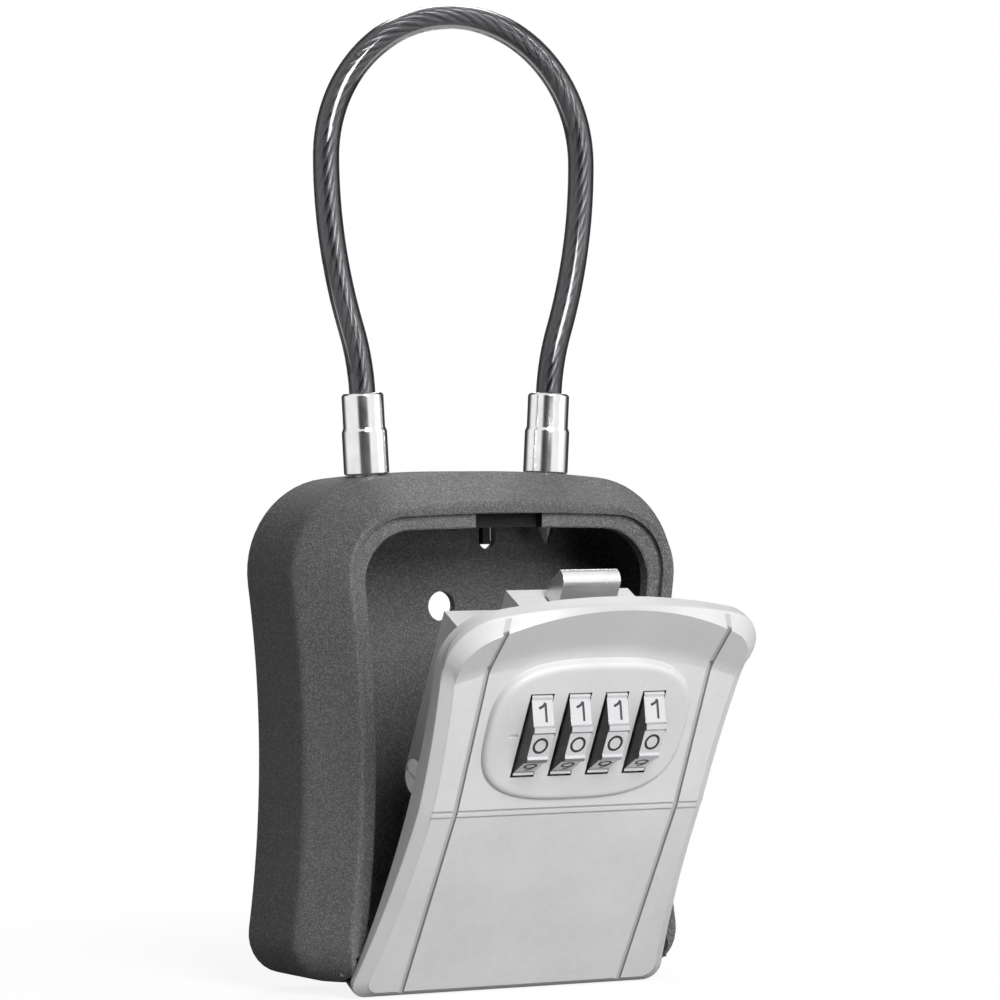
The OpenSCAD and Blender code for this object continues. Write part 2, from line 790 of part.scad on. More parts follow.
module lock_case() {
  slot_half = bolt_w / 2 + flat_gap;
  on_door() color("gainsboro") difference() {
    union() {
      intersection() {
        difference() {
          upright(case_line(0), rim_y - brow_proud, case_back_y);
          upright(case_line(case_wall), rim_y - brow_proud - cut, case_back_y + cut);
        }
        behind_face(fit_gap);
      }
      both_sides() spring_seat();
    }
    block(
      [-slot_half, bolt_front_y - flat_gap, ear_top_z],
      [slot_half, bolt_back_y + flat_gap, block_top_z + cut]
    );
    rod_x(spindle_r + 0.05, -case_half - cut, case_half + cut, dial_y, dial_z);
    rod_x(
      comb_h / 2 + 0.75, -case_half - cut, -case_half + case_wall + cut,
      comb_y0 + comb_t / 2, comb_z + comb_h / 2
    );
  }
}

module back_plate() {
  on_door() color("gainsboro") difference() {
    upright(case_line(0), case_back_y, case_back_y + plate_t);
    both_sides() rod_y(screw_r + 0.1, case_back_y - cut, case_back_y + plate_t + cut, post_x, post_z);
  }
}

module case_screws() {
  head_y = case_back_y + plate_t;
  on_door() color("silver") both_sides() {
    rod_y(screw_r, case_back_y - case_screw_len, head_y, post_x, post_z);
    rod_y(screw_r * 2.1, head_y, head_y + 1.4, post_x, post_z);
  }
}

module dial_spindle() {
  on_door() color("silver") difference() {
    union() {
      rod_x(spindle_r, -case_half - 0.2, case_half + 1.6, dial_y, dial_z);
      rod_x(spindle_r + 1.1, -case_half - 1.3, -case_half - 0.1, dial_y, dial_z);
    }
    tube_x(spindle_r - 0.5, spindle_r + 1, case_half + 0.3, case_half + 1, dial_y, dial_z);
  }
}

module spindle_clip() {
  on_door() color("slategray") difference() {
    tube_x(spindle_r - 0.45, spindle_r + 1.3, case_half + 0.35, case_half + 0.95, dial_y, dial_z);
    block([case_half, dial_y - 0.8, dial_z - 4], [case_half + 2, dial_y + 0.8, dial_z]);
  }
}

module spindle_bushes() {
  wall_x = case_half - case_wall - fit_gap;
  first_x = -1.5 * dial_pitch - dial_w / 2 - 0.25;
  last_x = 1.5 * dial_pitch + flange_x1 + reset_travel + 0.25;
  on_door() color("darkgray") {
    tube_x(spindle_r + fit_gap, spindle_r + 0.8, -wall_x, first_x, dial_y, dial_z);
    tube_x(spindle_r + fit_gap, spindle_r + 0.8, last_x, wall_x, dial_y, dial_z);
  }
}

// Leaves on a common strip, each pressing towards the back of its dial
module detent_spring() {
  back = case_back_y - 0.05;
  front = dial_y + dial_tip_r + 0.4;
  t = 0.35;
  on_door() color("silver") {
    block([-1.9 * dial_pitch, back - t, case_low_z + 2], [1.9 * dial_pitch, back, case_low_z + 7]);
    for (s = window_steps)
      across([
        [back, case_low_z + 6.5], [back - t, case_low_z + 6.5],
        [front - 0.05, dial_z - 1], [front - 0.05, dial_z + 1],
        [front + 0.5, dial_z + 4], [front + 0.8, dial_z + 4], [front + t, dial_z + 1], [front + t, dial_z - 1]
      ], s * dial_pitch - 1.8, s * dial_pitch + 1.8);
  }
}

// Middle of dial i, counted from the left
function dial_x(i) = (i - 2.5) * dial_pitch;

// Outline of a dial: ten flats with a ridge between each two
function dial_line() = [for (k = [0:9]) each [
  for (p = [
    [-flat_half_angle, dial_flat_r / cos(flat_half_angle)], [flat_half_angle, dial_flat_r / cos(flat_half_angle)],
    [18 - tip_half_angle, dial_tip_r], [18 + tip_half_angle, dial_tip_r]
  ])
    [dial_y - p[1] * cos(36 * k + p[0]), dial_z - p[1] * sin(36 * k + p[0])]
]];

// Puts a child drawn round the spindle at height 0 to the right of x
module on_spindle(x) {
  translate([x, dial_y, dial_z]) rotate([90, 0, 90]) children();
}

module dial(i) {
  x0 = dial_x(i) - dial_w / 2;
  land = 1.8;
  far = dial_w - 1.45;
  on_door() color("silver") difference() {
    across(dial_line(), x0, x0 + dial_w);
    on_spindle(x0 - cut) cylinder(r = hub_r + fit_gap, h = dial_w + 2 * cut);
    on_spindle(x0 + land) cylinder(r = relief_r, h = far - land);
    for (k = [0:9])
      on_spindle(x0 - cut) rotate([0, 0, 36 * k]) translate([0, -lug_w / 2 - 0.15, 0])
        cube([lug_r + 0.15, lug_w + 0.3, land + cut + 0.01]);
  }
}

// Sleeve that carries the code: two lugs lock into its dial, and the gate lets the fence tooth in.
// A second gate lies between two digits, where the dial never rests.
module clutch_sleeve(i) {
  x = dial_x(i);
  hub_x0 = x - dial_w / 2 + 0.15;
  on_door() color("goldenrod") difference() {
    union() {
      on_spindle(hub_x0) cylinder(r = hub_r, h = x + flange_x0 - hub_x0);
      on_spindle(x + flange_x0) cylinder(r = flange_r, h = flange_x1 - flange_x0);
      for (a = [0, 180])
        on_spindle(hub_x0 + 0.1) rotate([0, 0, a]) translate([gate_r, -lug_w / 2, 0])
        cube([lug_r - gate_r, lug_w, 1.5]);
    }
    on_spindle(hub_x0 - cut) cylinder(r = spindle_r + fit_gap, h = dial_pitch + 2 * cut);
    for (a = [0, 90])
      on_spindle(x + flange_x0 + 0.01) rotate([0, 0, a]) translate([gate_r, -gate_w / 2, 0])
        cube([flange_r, gate_w, flange_x1]);
  }
}

// Side view of the bolt: upright front, rounded nose, and a ramp that meets the lip when the door shuts
function bolt_line() = concat(
  [[bolt_back_y, shelf_z], [bolt_back_y, bolt_top_z - ramp_h]],
  [[bolt_front_y + bolt_round + 0.4, bolt_top_z]],
  arc([bolt_front_y + bolt_round, bolt_top_z - bolt_round], bolt_round, 90, 180, 8, 0, 8),
  [[bolt_front_y, shelf_z]]
);

module latch_bolt() {
  on_door() color("gainsboro") difference() {
    across(bolt_line(), -bolt_w / 2, bolt_w / 2);
    for (x = [-4, 4]) rod_y(1 + press_gap, bolt_front_y - cut, bolt_front_y + 3, x, shelf_z + 3.4);
  }
}

function tooth_x(i) = dial_x(i) + (flange_x0 + flange_x1) / 2;

// Plate behind the dials with one fence tooth for each sleeve
module lock_slide() {
  shelf_t = 1.4;
  shelf_y = dial_y - tooth_t / 2;
  neck = block_half - case_wall - 0.4;
  ear_x = spring_x + 3;
  on_door() color("silver") difference() {
    union() {
      upright([
        [-ear_x, ear_low_z], [ear_x, ear_low_z], [ear_x, ear_top_z], [neck, ear_top_z],
        [neck, block_top_z - case_wall - flat_gap], [-neck, block_top_z - case_wall - flat_gap],
        [-neck, ear_top_z], [-ear_x, ear_top_z]
      ], slide_y, slide_y + slide_t);
      block(
        [tooth_x(1) - tooth_w, shelf_y, shelf_z],
        [tooth_x(4) + tooth_w, slide_y + 0.1, shelf_z + shelf_t]
      );
      for (i = [1:4])
        block(
          [tooth_x(i) - tooth_w / 2, shelf_y, dial_z + flange_r + flat_gap],
          [tooth_x(i) + tooth_w / 2, shelf_y + tooth_t, shelf_z + 0.1]
        );
    }
    for (x = [-4, 4]) rod_y(1 + press_gap, slide_y - cut, slide_y + slide_t + cut, x, shelf_z + 3.4);
  }
}

module slide_rivets() {
  on_door() color("silver") for (x = [-4, 4]) {
    rod_y(1, slide_y - 0.1, bolt_front_y + 2.9, x, shelf_z + 3.4);
    rod_y(1.8, slide_y - 0.8, slide_y - 0.02, x, shelf_z + 3.4);
  }
}

// Compression spring: an unbroken six-sided wire that climbs through its curls
module coil_spring(coil_r, wire_r, low_z, high_z, curls) {
  steps = 8 * curls;
  rise = high_z - low_z - 2 * wire_r;
  skin([for (i = [0:steps]) let (a = 360 * curls * i / steps, z = low_z + wire_r + rise * i / steps)
    [for (k = [0:5]) let (r = coil_r + wire_r * cos(60 * k))
      [r * cos(a), r * sin(a), z - wire_r * sin(60 * k)]]]);
}

module latch_springs() {
  on_door() color("silver") both_sides() translate([spring_x, spring_y, 0])
    coil_spring(spring_coil_r, spring_wire_r, spring_seat_z + 0.05, ear_low_z - 0.05, spring_curls);
}

// Button on the side of the case that shifts the sleeves out of their dials
module reset_button() {
  y = comb_y0 + comb_t / 2;
  z = comb_z + comb_h / 2;
  face_x = -case_half - reset_travel - 2.2;
  on_door() color("gainsboro") difference() {
    union() {
      rod_x(4, face_x, face_x + 1.8, y, z);
      rod_x(comb_h / 2 + 0.6, face_x + 1, -case_half + case_wall + 0.3, y, z);
    }
    block([face_x - cut, y - 5, z - 0.5], [face_x + 0.7, y + 5, z + 0.5]);
  }
}

// Bar with a finger beside each sleeve's flange
module shift_comb() {
  on_door() color("slategray") {
    block(
      [-case_half + case_wall + 0.35, comb_y0, comb_z],
      [dial_x(4) + comb_x1, comb_y0 + comb_t, comb_z + comb_h]
    );
    for (i = [1:4])
      across([
        [comb_y0, comb_z], [comb_y0 + comb_t, comb_z], [comb_y0 + comb_t, comb_z + comb_h + 2],
        [dial_y + 1.8, dial_z - hub_r - 0.5], [dial_y - 1.8, dial_z - hub_r - 0.5],
        [dial_y - 1.8, dial_z - hub_r - 4]
      ], dial_x(i) + comb_x0, dial_x(i) + comb_x1);
  }
}

module dial_1() { dial(1); }
module dial_2() { dial(2); }
module dial_3() { dial(3); }
module dial_4() { dial(4); }
module clutch_sleeve_1() { clutch_sleeve(1); }
module clutch_sleeve_2() { clutch_sleeve(2); }
module clutch_sleeve_3() { clutch_sleeve(3); }
module clutch_sleeve_4() { clutch_sleeve(4); }

housing();
hinge_pins();
ferrule_left();
ferrule_right();
stem_left();
stem_right();
stem_clip();
shackle_catch();
cable_core();
cable_sheath();
door_cover();
lock_case();
back_plate();
case_screws();
dial_spindle();
spindle_clip();
spindle_bushes();
detent_spring();
dial_1();
dial_2();
dial_3();
dial_4();
clutch_sleeve_1();
clutch_sleeve_2();
clutch_sleeve_3();
clutch_sleeve_4();
latch_bolt();
lock_slide();
slide_rivets();
latch_springs();
reset_button();
shift_comb();
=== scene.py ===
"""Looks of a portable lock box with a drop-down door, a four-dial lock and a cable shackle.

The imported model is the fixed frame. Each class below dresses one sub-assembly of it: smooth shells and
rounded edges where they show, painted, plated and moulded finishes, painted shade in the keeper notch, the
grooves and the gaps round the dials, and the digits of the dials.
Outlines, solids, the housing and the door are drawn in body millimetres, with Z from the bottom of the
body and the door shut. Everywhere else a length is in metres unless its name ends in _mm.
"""

from __future__ import annotations

import json
import logging
import math
from dataclasses import astuple, dataclass, replace
from enum import Enum

import bmesh
import bpy
from mathutils import Matrix, Vector

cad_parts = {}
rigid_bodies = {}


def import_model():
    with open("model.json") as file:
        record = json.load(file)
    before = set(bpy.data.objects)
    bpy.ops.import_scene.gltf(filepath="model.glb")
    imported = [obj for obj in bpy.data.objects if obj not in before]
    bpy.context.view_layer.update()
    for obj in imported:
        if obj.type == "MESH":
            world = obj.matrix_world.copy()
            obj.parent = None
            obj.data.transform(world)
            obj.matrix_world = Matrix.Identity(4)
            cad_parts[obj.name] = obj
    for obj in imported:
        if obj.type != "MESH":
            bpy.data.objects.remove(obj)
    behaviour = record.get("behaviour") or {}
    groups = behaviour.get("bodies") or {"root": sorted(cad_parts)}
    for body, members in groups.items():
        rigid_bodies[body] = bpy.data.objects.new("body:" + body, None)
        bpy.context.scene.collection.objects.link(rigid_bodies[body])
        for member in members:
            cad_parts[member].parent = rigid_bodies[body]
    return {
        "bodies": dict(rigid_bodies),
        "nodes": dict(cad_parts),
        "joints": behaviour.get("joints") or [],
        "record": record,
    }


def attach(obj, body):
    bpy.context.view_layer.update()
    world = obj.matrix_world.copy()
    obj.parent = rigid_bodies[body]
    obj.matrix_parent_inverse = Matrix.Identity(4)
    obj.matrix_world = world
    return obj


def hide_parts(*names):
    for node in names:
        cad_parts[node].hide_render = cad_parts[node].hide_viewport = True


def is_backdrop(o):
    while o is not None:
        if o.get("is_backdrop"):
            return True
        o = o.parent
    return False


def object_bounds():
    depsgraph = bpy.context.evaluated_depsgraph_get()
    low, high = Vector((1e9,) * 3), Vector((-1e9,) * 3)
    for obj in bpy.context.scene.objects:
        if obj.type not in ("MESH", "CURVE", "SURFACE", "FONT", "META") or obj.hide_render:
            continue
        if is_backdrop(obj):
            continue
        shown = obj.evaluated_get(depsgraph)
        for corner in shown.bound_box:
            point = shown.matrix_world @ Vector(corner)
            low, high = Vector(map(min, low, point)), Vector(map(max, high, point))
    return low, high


LOG = logging.getLogger("lock_box")
MM = 0.001

# Places shared with the construction, in millimetres from the bottom of the body
ORIGIN_Z_MM = 58.7
HEIGHT_MM = 118.0
RIM_Y_MM = -38.7
LEG_X_MM, LEG_Y_MM = 24.1, -10.5
HINGE_Y_MM, HINGE_Z_MM = -28.5, 7.0
OPEN_DEG = 28.0
DIAL_Y_MM, DIAL_Z_MM = -35.9, 73.2
DIAL_PITCH_MM = 9.7
DIAL_COUNT = 4

# Slack at the limits of marked faces, and the distance within which carved corners become one
NEAR_MM = 0.05
CARVED_MERGE_MM = 0.001

# A closed stroke runs a little past its start, so that its round ends lie in each other
CLOSED_DEG = 366.0

Point = tuple[float, float]
Place = tuple[float, float, float]
Colour = tuple[float, float, float]


class Slot(Enum):
    """Material slots of the record."""

    HOUSING = "housing_paint"
    DOOR = "door_paint"
    CASE = "case_paint"
    PLASTIC = "black_plastic"
    CHROME = "chrome"
    DIAL = "dial_chrome"
    STEEL = "steel"
    BRASS = "brass"
    STRAND = "steel_strand"
    VINYL = "sheath_vinyl"


def body_matrix() -> Matrix:
    """Returns the move from body millimetres to the model's frame."""
    return Matrix.Scale(MM, 4) @ Matrix.Translation((0, 0, -ORIGIN_Z_MM))


def door_matrix() -> Matrix:
    """Returns the move from closed-door millimetres to where the open door stands."""
    hinge = Vector((0, HINGE_Y_MM, HINGE_Z_MM))
    turn = Matrix.Rotation(math.radians(OPEN_DEG), 4, "X")
    return body_matrix() @ Matrix.Translation(hinge) @ turn @ Matrix.Translation(-hinge)


def dial_places() -> list[float]:
    """Returns where the middle of each dial lies in X, in body millimetres."""
    return [(number - (DIAL_COUNT - 1) / 2) * DIAL_PITCH_MM for number in range(DIAL_COUNT)]


class NodeTree:
    """Short hand for building one node tree."""

    def __init__(self, tree: bpy.types.NodeTree) -> None:
        """Args: tree: the tree that nodes are added to."""
        self.tree = tree

    def add(self, kind: str, **values: object) -> bpy.types.Node:
        """Adds a node and sets its properties and sockets.

        Args:
            kind: the node's type without its ShaderNode prefix, or a full type name.
            values: properties by name; a name that isn't a property sets the socket of that name.

        Returns:
            The new node.
        """
        full = kind if kind.startswith("NodeGroup") else "ShaderNode" + kind
        node = self.tree.nodes.new(full)
        for name, value in values.items():
            if hasattr(node, name):
                setattr(node, name, value)
            else:
                self.put(node, name.replace("_", " "), value)
        return node

    def put(self, node: bpy.types.Node, name: str, value: object) -> None:
        """Sets a node's socket to a value, or links another socket to it.

        Args:
            node: the node that has the socket.
            name: the socket's name, in any case.
            value: a number, a colour or an output socket.
        """
        self.feed(next(s for s in node.inputs if s.name.lower() == name.lower() and s.enabled), value)

    def feed(self, socket: bpy.types.NodeSocket, value: object) -> None:
        """Sets an input socket to a value, or links another socket to it.

        Args:
            socket: the input socket.
            value: a number, a colour or an output socket.
        """
        if isinstance(value, bpy.types.NodeSocket):
            self.tree.links.new(value, socket)
        else:
            socket.default_value = value

    def math(self, operation: str, first: object, second: object = 0.0) -> bpy.types.NodeSocket:
        """Adds a Math node.

        Args:
            operation: the Math node's operation.
            first: a number or a socket.
            second: a number or a socket.

        Returns:
            The node's output.
        """
        node = self.add("Math", operation=operation)
        self.feed(node.inputs[0], first)
        self.feed(node.inputs[1], second)
        return node.outputs[0]

    def mix(self, factor: object, low: object, high: object) -> bpy.types.NodeSocket:
        """Mixes two colours.

        Args:
            factor: how much of the second colour, as a number or a socket.
            low: the colour at 0.
            high: the colour at 1.

        Returns:
            The mixed colour.
        """
        node = self.add("Mix", data_type="RGBA", Factor=factor, A=low, B=high)
        return next(s for s in node.outputs if s.enabled)

    def spread(self, value: object, low: float, high: float, to_low: float = 0.0,
               to_high: float = 1.0) -> bpy.types.NodeSocket:
        """Maps a range onto another and clamps it.

        Args:
            value: the socket to map.
            low: the value that becomes to_low.
            high: the value that becomes to_high.
            to_low: the result at low.
            to_high: the result at high.

        Returns:
            The mapped value.
        """
        node = self.add("MapRange", Value=value, From_Min=low, From_Max=high, To_Min=to_low, To_Max=to_high)
        return node.outputs[0]

    def coordinates(self) -> bpy.types.NodeSocket:
        """Returns the place on the piece, in Object coordinates."""
        return self.add("TexCoord").outputs["Object"]

    def seen_directly(self, paths: bpy.types.Node) -> bpy.types.NodeSocket:
        """Returns 1 where a Light Path node says that the camera sees a thing, also through the sheath."""
        return self.math("MAXIMUM", paths.outputs["Is Camera Ray"], paths.outputs["Is Transmission Ray"])

    def emboss(self, shader: bpy.types.Node, height: bpy.types.NodeSocket, depth_mm: float) -> None:
        """Gives a shader the bumps of a height.

        Args:
            shader: the material's shader.
            height: the height's socket.
            depth_mm: how far a height of 1 stands out.
        """
        bump = self.add("Bump", Height=height, Distance=depth_mm * MM, Strength=1.0)
        self.put(shader, "Normal", bump.outputs[0])


def start_group(name: str, inputs: dict[str, float],
                outputs: tuple[str, ...]) -> tuple[NodeTree, bpy.types.Node, bpy.types.Node]:
    """Starts a shader node group whose sockets are all numbers.

    Args:
        name: the group's name.
        inputs: the input sockets' names with their default values.
        outputs: the output sockets' names.

    Returns:
        The group's tree, its input node and its output node.
    """
    tree = bpy.data.node_groups.new(name, "ShaderNodeTree")
    for label, value in inputs.items():
        socket = tree.interface.new_socket(name=label, in_out="INPUT", socket_type="NodeSocketFloat")
        socket.default_value = value
    for label in outputs:
        tree.interface.new_socket(name=label, in_out="OUTPUT", socket_type="NodeSocketFloat")
    t = NodeTree(tree)
    return t, t.add("NodeGroupInput"), t.add("NodeGroupOutput")


@dataclass(frozen=True)
class Grain:
    """Fine grain of paint and moulded plastic: a height, a mask of lighter specks and a slow mottle."""

    grains_per_metre: float = 2500.0
    speck_share: float = 0.2
    fine_detail: float = 2.0
    cells_per_grain: float = 0.8
    cell_height: float = 0.7
    mottles_per_metre: float = 55.0
    mottle_detail: float = 3.0
    mottle_limits: Point = (0.35, 0.65)

    def build(self) -> bpy.types.NodeTree:
        """Builds the shader node group.

        Returns:
            The group's tree.
        """
        t, given, out = start_group(
            "grain", {"Grains per metre": self.grains_per_metre, "Speck share": self.speck_share},
            ("Height", "Specks", "Mottle"))
        at = t.coordinates()
        scale, share = given.outputs[:2]
        fine = t.add("TexNoise", Vector=at, Scale=scale, Detail=self.fine_detail)
        cells = t.add("TexVoronoi", Vector=at, Scale=t.math("MULTIPLY", scale, self.cells_per_grain))
        tone = t.add("SeparateColor", Color=cells.outputs["Color"])
        slow = t.add("TexNoise", Vector=at, Scale=self.mottles_per_metre, Detail=self.mottle_detail)
        ridges = t.math("MULTIPLY", cells.outputs["Distance"], self.cell_height)
        t.put(out, "Height", t.math("ADD", fine.outputs[0], ridges))
        t.put(out, "Specks", t.math("GREATER_THAN", tone.outputs[0], t.math("SUBTRACT", 1.0, share)))
        t.put(out, "Mottle", t.spread(slow.outputs[0], *self.mottle_limits))
        return t.tree


@dataclass(frozen=True)
class EdgeWear:
    """Rubbed look of convex edges, broken up by noise: a mask."""

    amount: float = 0.5
    bend_limits: Point = (0.52, 0.6)
    breaks_per_metre: float = 400.0
    break_detail: float = 4.0
    break_limits: Point = (0.4, 0.6)
    break_least: float = 0.2

    def build(self) -> bpy.types.NodeTree:
        """Builds the shader node group.

        Returns:
            The group's tree.
        """
        t, given, out = start_group("edge_wear", {"Amount": self.amount}, ("Mask",))
        bend = t.spread(t.add("NewGeometry").outputs["Pointiness"], *self.bend_limits)
        noise = t.add("TexNoise", Vector=t.coordinates(), Scale=self.breaks_per_metre,
                      Detail=self.break_detail)
        broken = t.spread(noise.outputs[0], *self.break_limits, self.break_least, 1.0)
        t.put(out, "Mask", t.math("MULTIPLY", t.math("MULTIPLY", bend, broken), given.outputs[0]))
        return t.tree


@dataclass(frozen=True)
class BrushedLines:
    """Drawn lines along X and smudges of plated and bare metal: a height and a mask."""

    lines_per_metre: float = 1500.0
    line_scale: Place = (0.04, 1.0, 1.0)
    line_detail: float = 3.0
    smudges_per_metre: float = 180.0
    smudge_detail: float = 4.0
    smudge_limits: Point = (0.4, 0.7)

    def build(self) -> bpy.types.NodeTree:
        """Builds the shader node group.

        Returns:
            The group's tree.
        """
        t, given, out = start_group("brushed", {"Lines per metre": self.lines_per_metre},
                                    ("Height", "Smudge"))
        at = t.coordinates()
        drawn = t.add("Mapping", Vector=at, Scale=self.line_scale)
        lines = t.add("TexNoise", Vector=drawn.outputs[0], Scale=given.outputs[0], Detail=self.line_detail)
        smudge = t.add("TexNoise", Vector=at, Scale=self.smudges_per_metre, Detail=self.smudge_detail)
        t.put(out, "Height", lines.outputs[0])
        t.put(out, "Smudge", t.spread(smudge.outputs[0], *self.smudge_limits))
        return t.tree


class Effects:
    """Holds the shader groups that the finishes share, each built once."""

    def __init__(self) -> None:
        """Builds the groups."""
        self.grain = Grain().build()
        self.wear = EdgeWear().build()
        self.brushed = BrushedLines().build()


def opaque(colour: Colour, share: float = 1.0) -> tuple[float, float, float, float]:
    """Returns a share of a colour as red, green, blue and a full alpha."""
    red, green, blue = (tone * share for tone in colour)
    return red, green, blue, 1.0


def grey(tone: float) -> tuple[float, float, float, float]:
    """Returns a grey as red, green, blue and a full alpha."""
    return opaque((tone, tone, tone))


def start_material(name: str) -> tuple[bpy.types.Material, NodeTree, bpy.types.Node]:
    """Starts a material with an untouched Principled shader.

    Args:
        name: the material's name.

    Returns:
        The material, its node tree and the shader node.
    """
    material = bpy.data.materials.new(name)
    material.use_nodes = True
    tree = NodeTree(material.node_tree)
    shader = next(n for n in material.node_tree.nodes if n.type == "BSDF_PRINCIPLED")
    return material, tree, shader


@dataclass(frozen=True)
class Paint:
    """Powder coat, satin paint or moulded plastic: one colour broken by grain, specks and worn edges."""

    name: str
    colour: Colour
    speck: Colour
    roughness: float
    grains_per_metre: float = 2500.0
    speck_share: float = 0.1
    bump_mm: float = 0.02
    wear: float = 0.2
    worn_colour: Colour = (0.5, 0.5, 0.5)
    specular: float = 0.5
    mottle_shade: float = 0.93
    roughness_sway: float = 0.03
    speck_gloss: float = 0.1

    def build(self, effects: Effects) -> bpy.types.Material:
        """Builds the material.

        Args:
            effects: the shared shader groups.

        Returns:
            The material.
        """
        material, t, shader = start_material(self.name)
        grain = t.add("Group", node_tree=effects.grain, Grains_per_metre=self.grains_per_metre,
                      Speck_share=self.speck_share)
        wear = t.add("Group", node_tree=effects.wear, Amount=self.wear)
        mottle, specks = grain.outputs["Mottle"], grain.outputs["Specks"]
        base = t.mix(mottle, opaque(self.colour, self.mottle_shade), opaque(self.colour))
        speckled = t.mix(specks, base, opaque(self.speck))
        t.put(shader, "Base Color", t.mix(wear.outputs["Mask"], speckled, opaque(self.worn_colour)))
        rough = t.spread(mottle, 0.0, 1.0, self.roughness - self.roughness_sway,
                         self.roughness + self.roughness_sway)
        gloss = t.math("MULTIPLY", specks, self.speck_gloss)
        t.put(shader, "Roughness", t.math("SUBTRACT", rough, gloss))
        t.put(shader, "Specular IOR Level", self.specular)
        t.emboss(shader, grain.outputs["Height"], self.bump_mm)
        return material


@dataclass(frozen=True)
class Metal:
    """Plated, turned or bare metal with drawn lines and smudges."""

    name: str
    colour: Colour
    roughness: float
    smudge: float = 0.06
    lines_per_metre: float = 1500.0
    bump_mm: float = 0.002
    metallic: float = 1.0
    smudge_shade: float = 0.9

    def build(self, effects: Effects) -> bpy.types.Material:
        """Builds the material.

        Args:
            effects: the shared shader groups.

        Returns:
            The material.
        """
        material, t, shader = start_material(self.name)
        brushed = t.add("Group", node_tree=effects.brushed, Lines_per_metre=self.lines_per_metre)
        smudge = brushed.outputs["Smudge"]
        dull = opaque(self.colour, self.smudge_shade)
        t.put(shader, "Base Color", t.mix(smudge, opaque(self.colour), dull))
        t.put(shader, "Metallic", self.metallic)
        t.put(shader, "Roughness", t.spread(smudge, 0.0, 1.0, self.roughness, self.roughness + self.smudge))
        t.emboss(shader, brushed.outputs["Height"], self.bump_mm)
        return material


@dataclass(frozen=True)
class SmokedVinyl:
    """See-through sheath, smoky grey, glossy and slightly uneven."""

    name: str
    colour: Colour
    roughness: float = 0.03
    roughness_sway: float = 0.03
    transmission: float = 1.0
    refraction: float = 1.46
    waves_per_metre: float = 400.0
    mottle_shade: float = 0.85
    bump_mm: float = 0.01

    def build(self, effects: Effects) -> bpy.types.Material:
        """Builds the material.

        Args:
            effects: the shared shader groups.

        Returns:
            The material.
        """
        material, t, shader = start_material(self.name)
        grain = t.add("Group", node_tree=effects.grain, Grains_per_metre=self.waves_per_metre)
        mottle = grain.outputs["Mottle"]
        shade = opaque(self.colour, self.mottle_shade)
        t.put(shader, "Base Color", t.mix(mottle, shade, opaque(self.colour)))
        t.put(shader, "Roughness", t.spread(mottle, 0.0, 1.0, self.roughness,
                                            self.roughness + self.roughness_sway))
        t.put(shader, "Transmission Weight", self.transmission)
        t.put(shader, "IOR", self.refraction)
        t.emboss(shader, grain.outputs["Height"], self.bump_mm)
        return material


HOUSING_PAINT = Paint("charcoal_powder_coat", (0.105, 0.105, 0.107), (0.17, 0.17, 0.172), 0.6,
                      grains_per_metre=5000.0, speck_share=0.35, bump_mm=0.4, wear=0.04, specular=0.12)
# Painted shade: near black on the faces deep in the keeper notch, standing in for the shadow there
NOTCH_PAINTED_SHADE = Paint("keeper_notch_painted_shade", (0.008, 0.008, 0.0085), (0.012, 0.012, 0.0125), 0.6,
                   grains_per_metre=3000.0, speck_share=0.2, bump_mm=0.05, wear=0.0, specular=0.1)
DOOR_PAINT = Paint("pale_grey_satin_paint", (0.43, 0.43, 0.433), (0.435, 0.435, 0.438), 0.42,
                   grains_per_metre=3500.0, speck_share=0.05, bump_mm=0.006, wear=0.15,
                   worn_colour=(0.54, 0.54, 0.545))
CASE_PAINT = replace(DOOR_PAINT, name="case_satin_paint")
# Painted shade: door paint darkened on the faces in the grooves, standing in for the shade inside them
GROOVE_PAINTED_SHADE = Paint("door_paint_groove_painted_shade", (0.32, 0.32, 0.322), (0.33, 0.33, 0.332), 0.55,
                     grains_per_metre=3500.0, speck_share=0.05, bump_mm=0.004, wear=0.0)
BLACK_PLASTIC = Paint("black_moulded_plastic", (0.012, 0.012, 0.013), (0.02, 0.02, 0.02), 0.5,
                      grains_per_metre=1800.0, speck_share=0.03, bump_mm=0.01, wear=0.1,
                      worn_colour=(0.06, 0.06, 0.06))
# Painted shade: near black on the dial sides and the dial windows' walls, standing in for the shadow in the
# gaps
GAP_PAINTED_SHADE = Paint("dial_gap_painted_shade", (0.006, 0.006, 0.0065), (0.01, 0.01, 0.01), 0.4,
                  grains_per_metre=3000.0, speck_share=0.05, bump_mm=0.005, wear=0.05)
DIGIT_INK = Paint("black_digit_ink", (0.008, 0.008, 0.009), (0.015, 0.015, 0.015), 0.45,
                  grains_per_metre=6000.0, speck_share=0.02, bump_mm=0.002, wear=0.0)
CHROME = Metal("polished_chrome", (0.86, 0.86, 0.87), 0.12, smudge=0.04)
DIAL_CHROME = Metal("satin_dial_plating", (0.74, 0.745, 0.76), 0.2, lines_per_metre=2600.0)
BOLT_METAL = Metal("satin_nickel", (0.74, 0.74, 0.75), 0.24, smudge=0.05, metallic=0.85)
STEEL = Metal("zinc_plated_steel", (0.55, 0.55, 0.57), 0.3, smudge=0.12, bump_mm=0.004)
BRASS = Metal("turned_brass", (0.68, 0.5, 0.22), 0.25, smudge=0.1, bump_mm=0.003)
STRAND_STEEL = Metal("steel_strand_wire", (0.75, 0.75, 0.77), 0.3, smudge=0.1)
VINYL = SmokedVinyl("smoked_vinyl", (0.3, 0.3, 0.31))

SLOT_FINISH = {
    Slot.HOUSING: HOUSING_PAINT, Slot.DOOR: DOOR_PAINT, Slot.CASE: CASE_PAINT, Slot.PLASTIC: BLACK_PLASTIC,
    Slot.CHROME: CHROME, Slot.DIAL: DIAL_CHROME, Slot.STEEL: STEEL, Slot.BRASS: BRASS,
    Slot.STRAND: STRAND_STEEL, Slot.VINYL: VINYL,
}


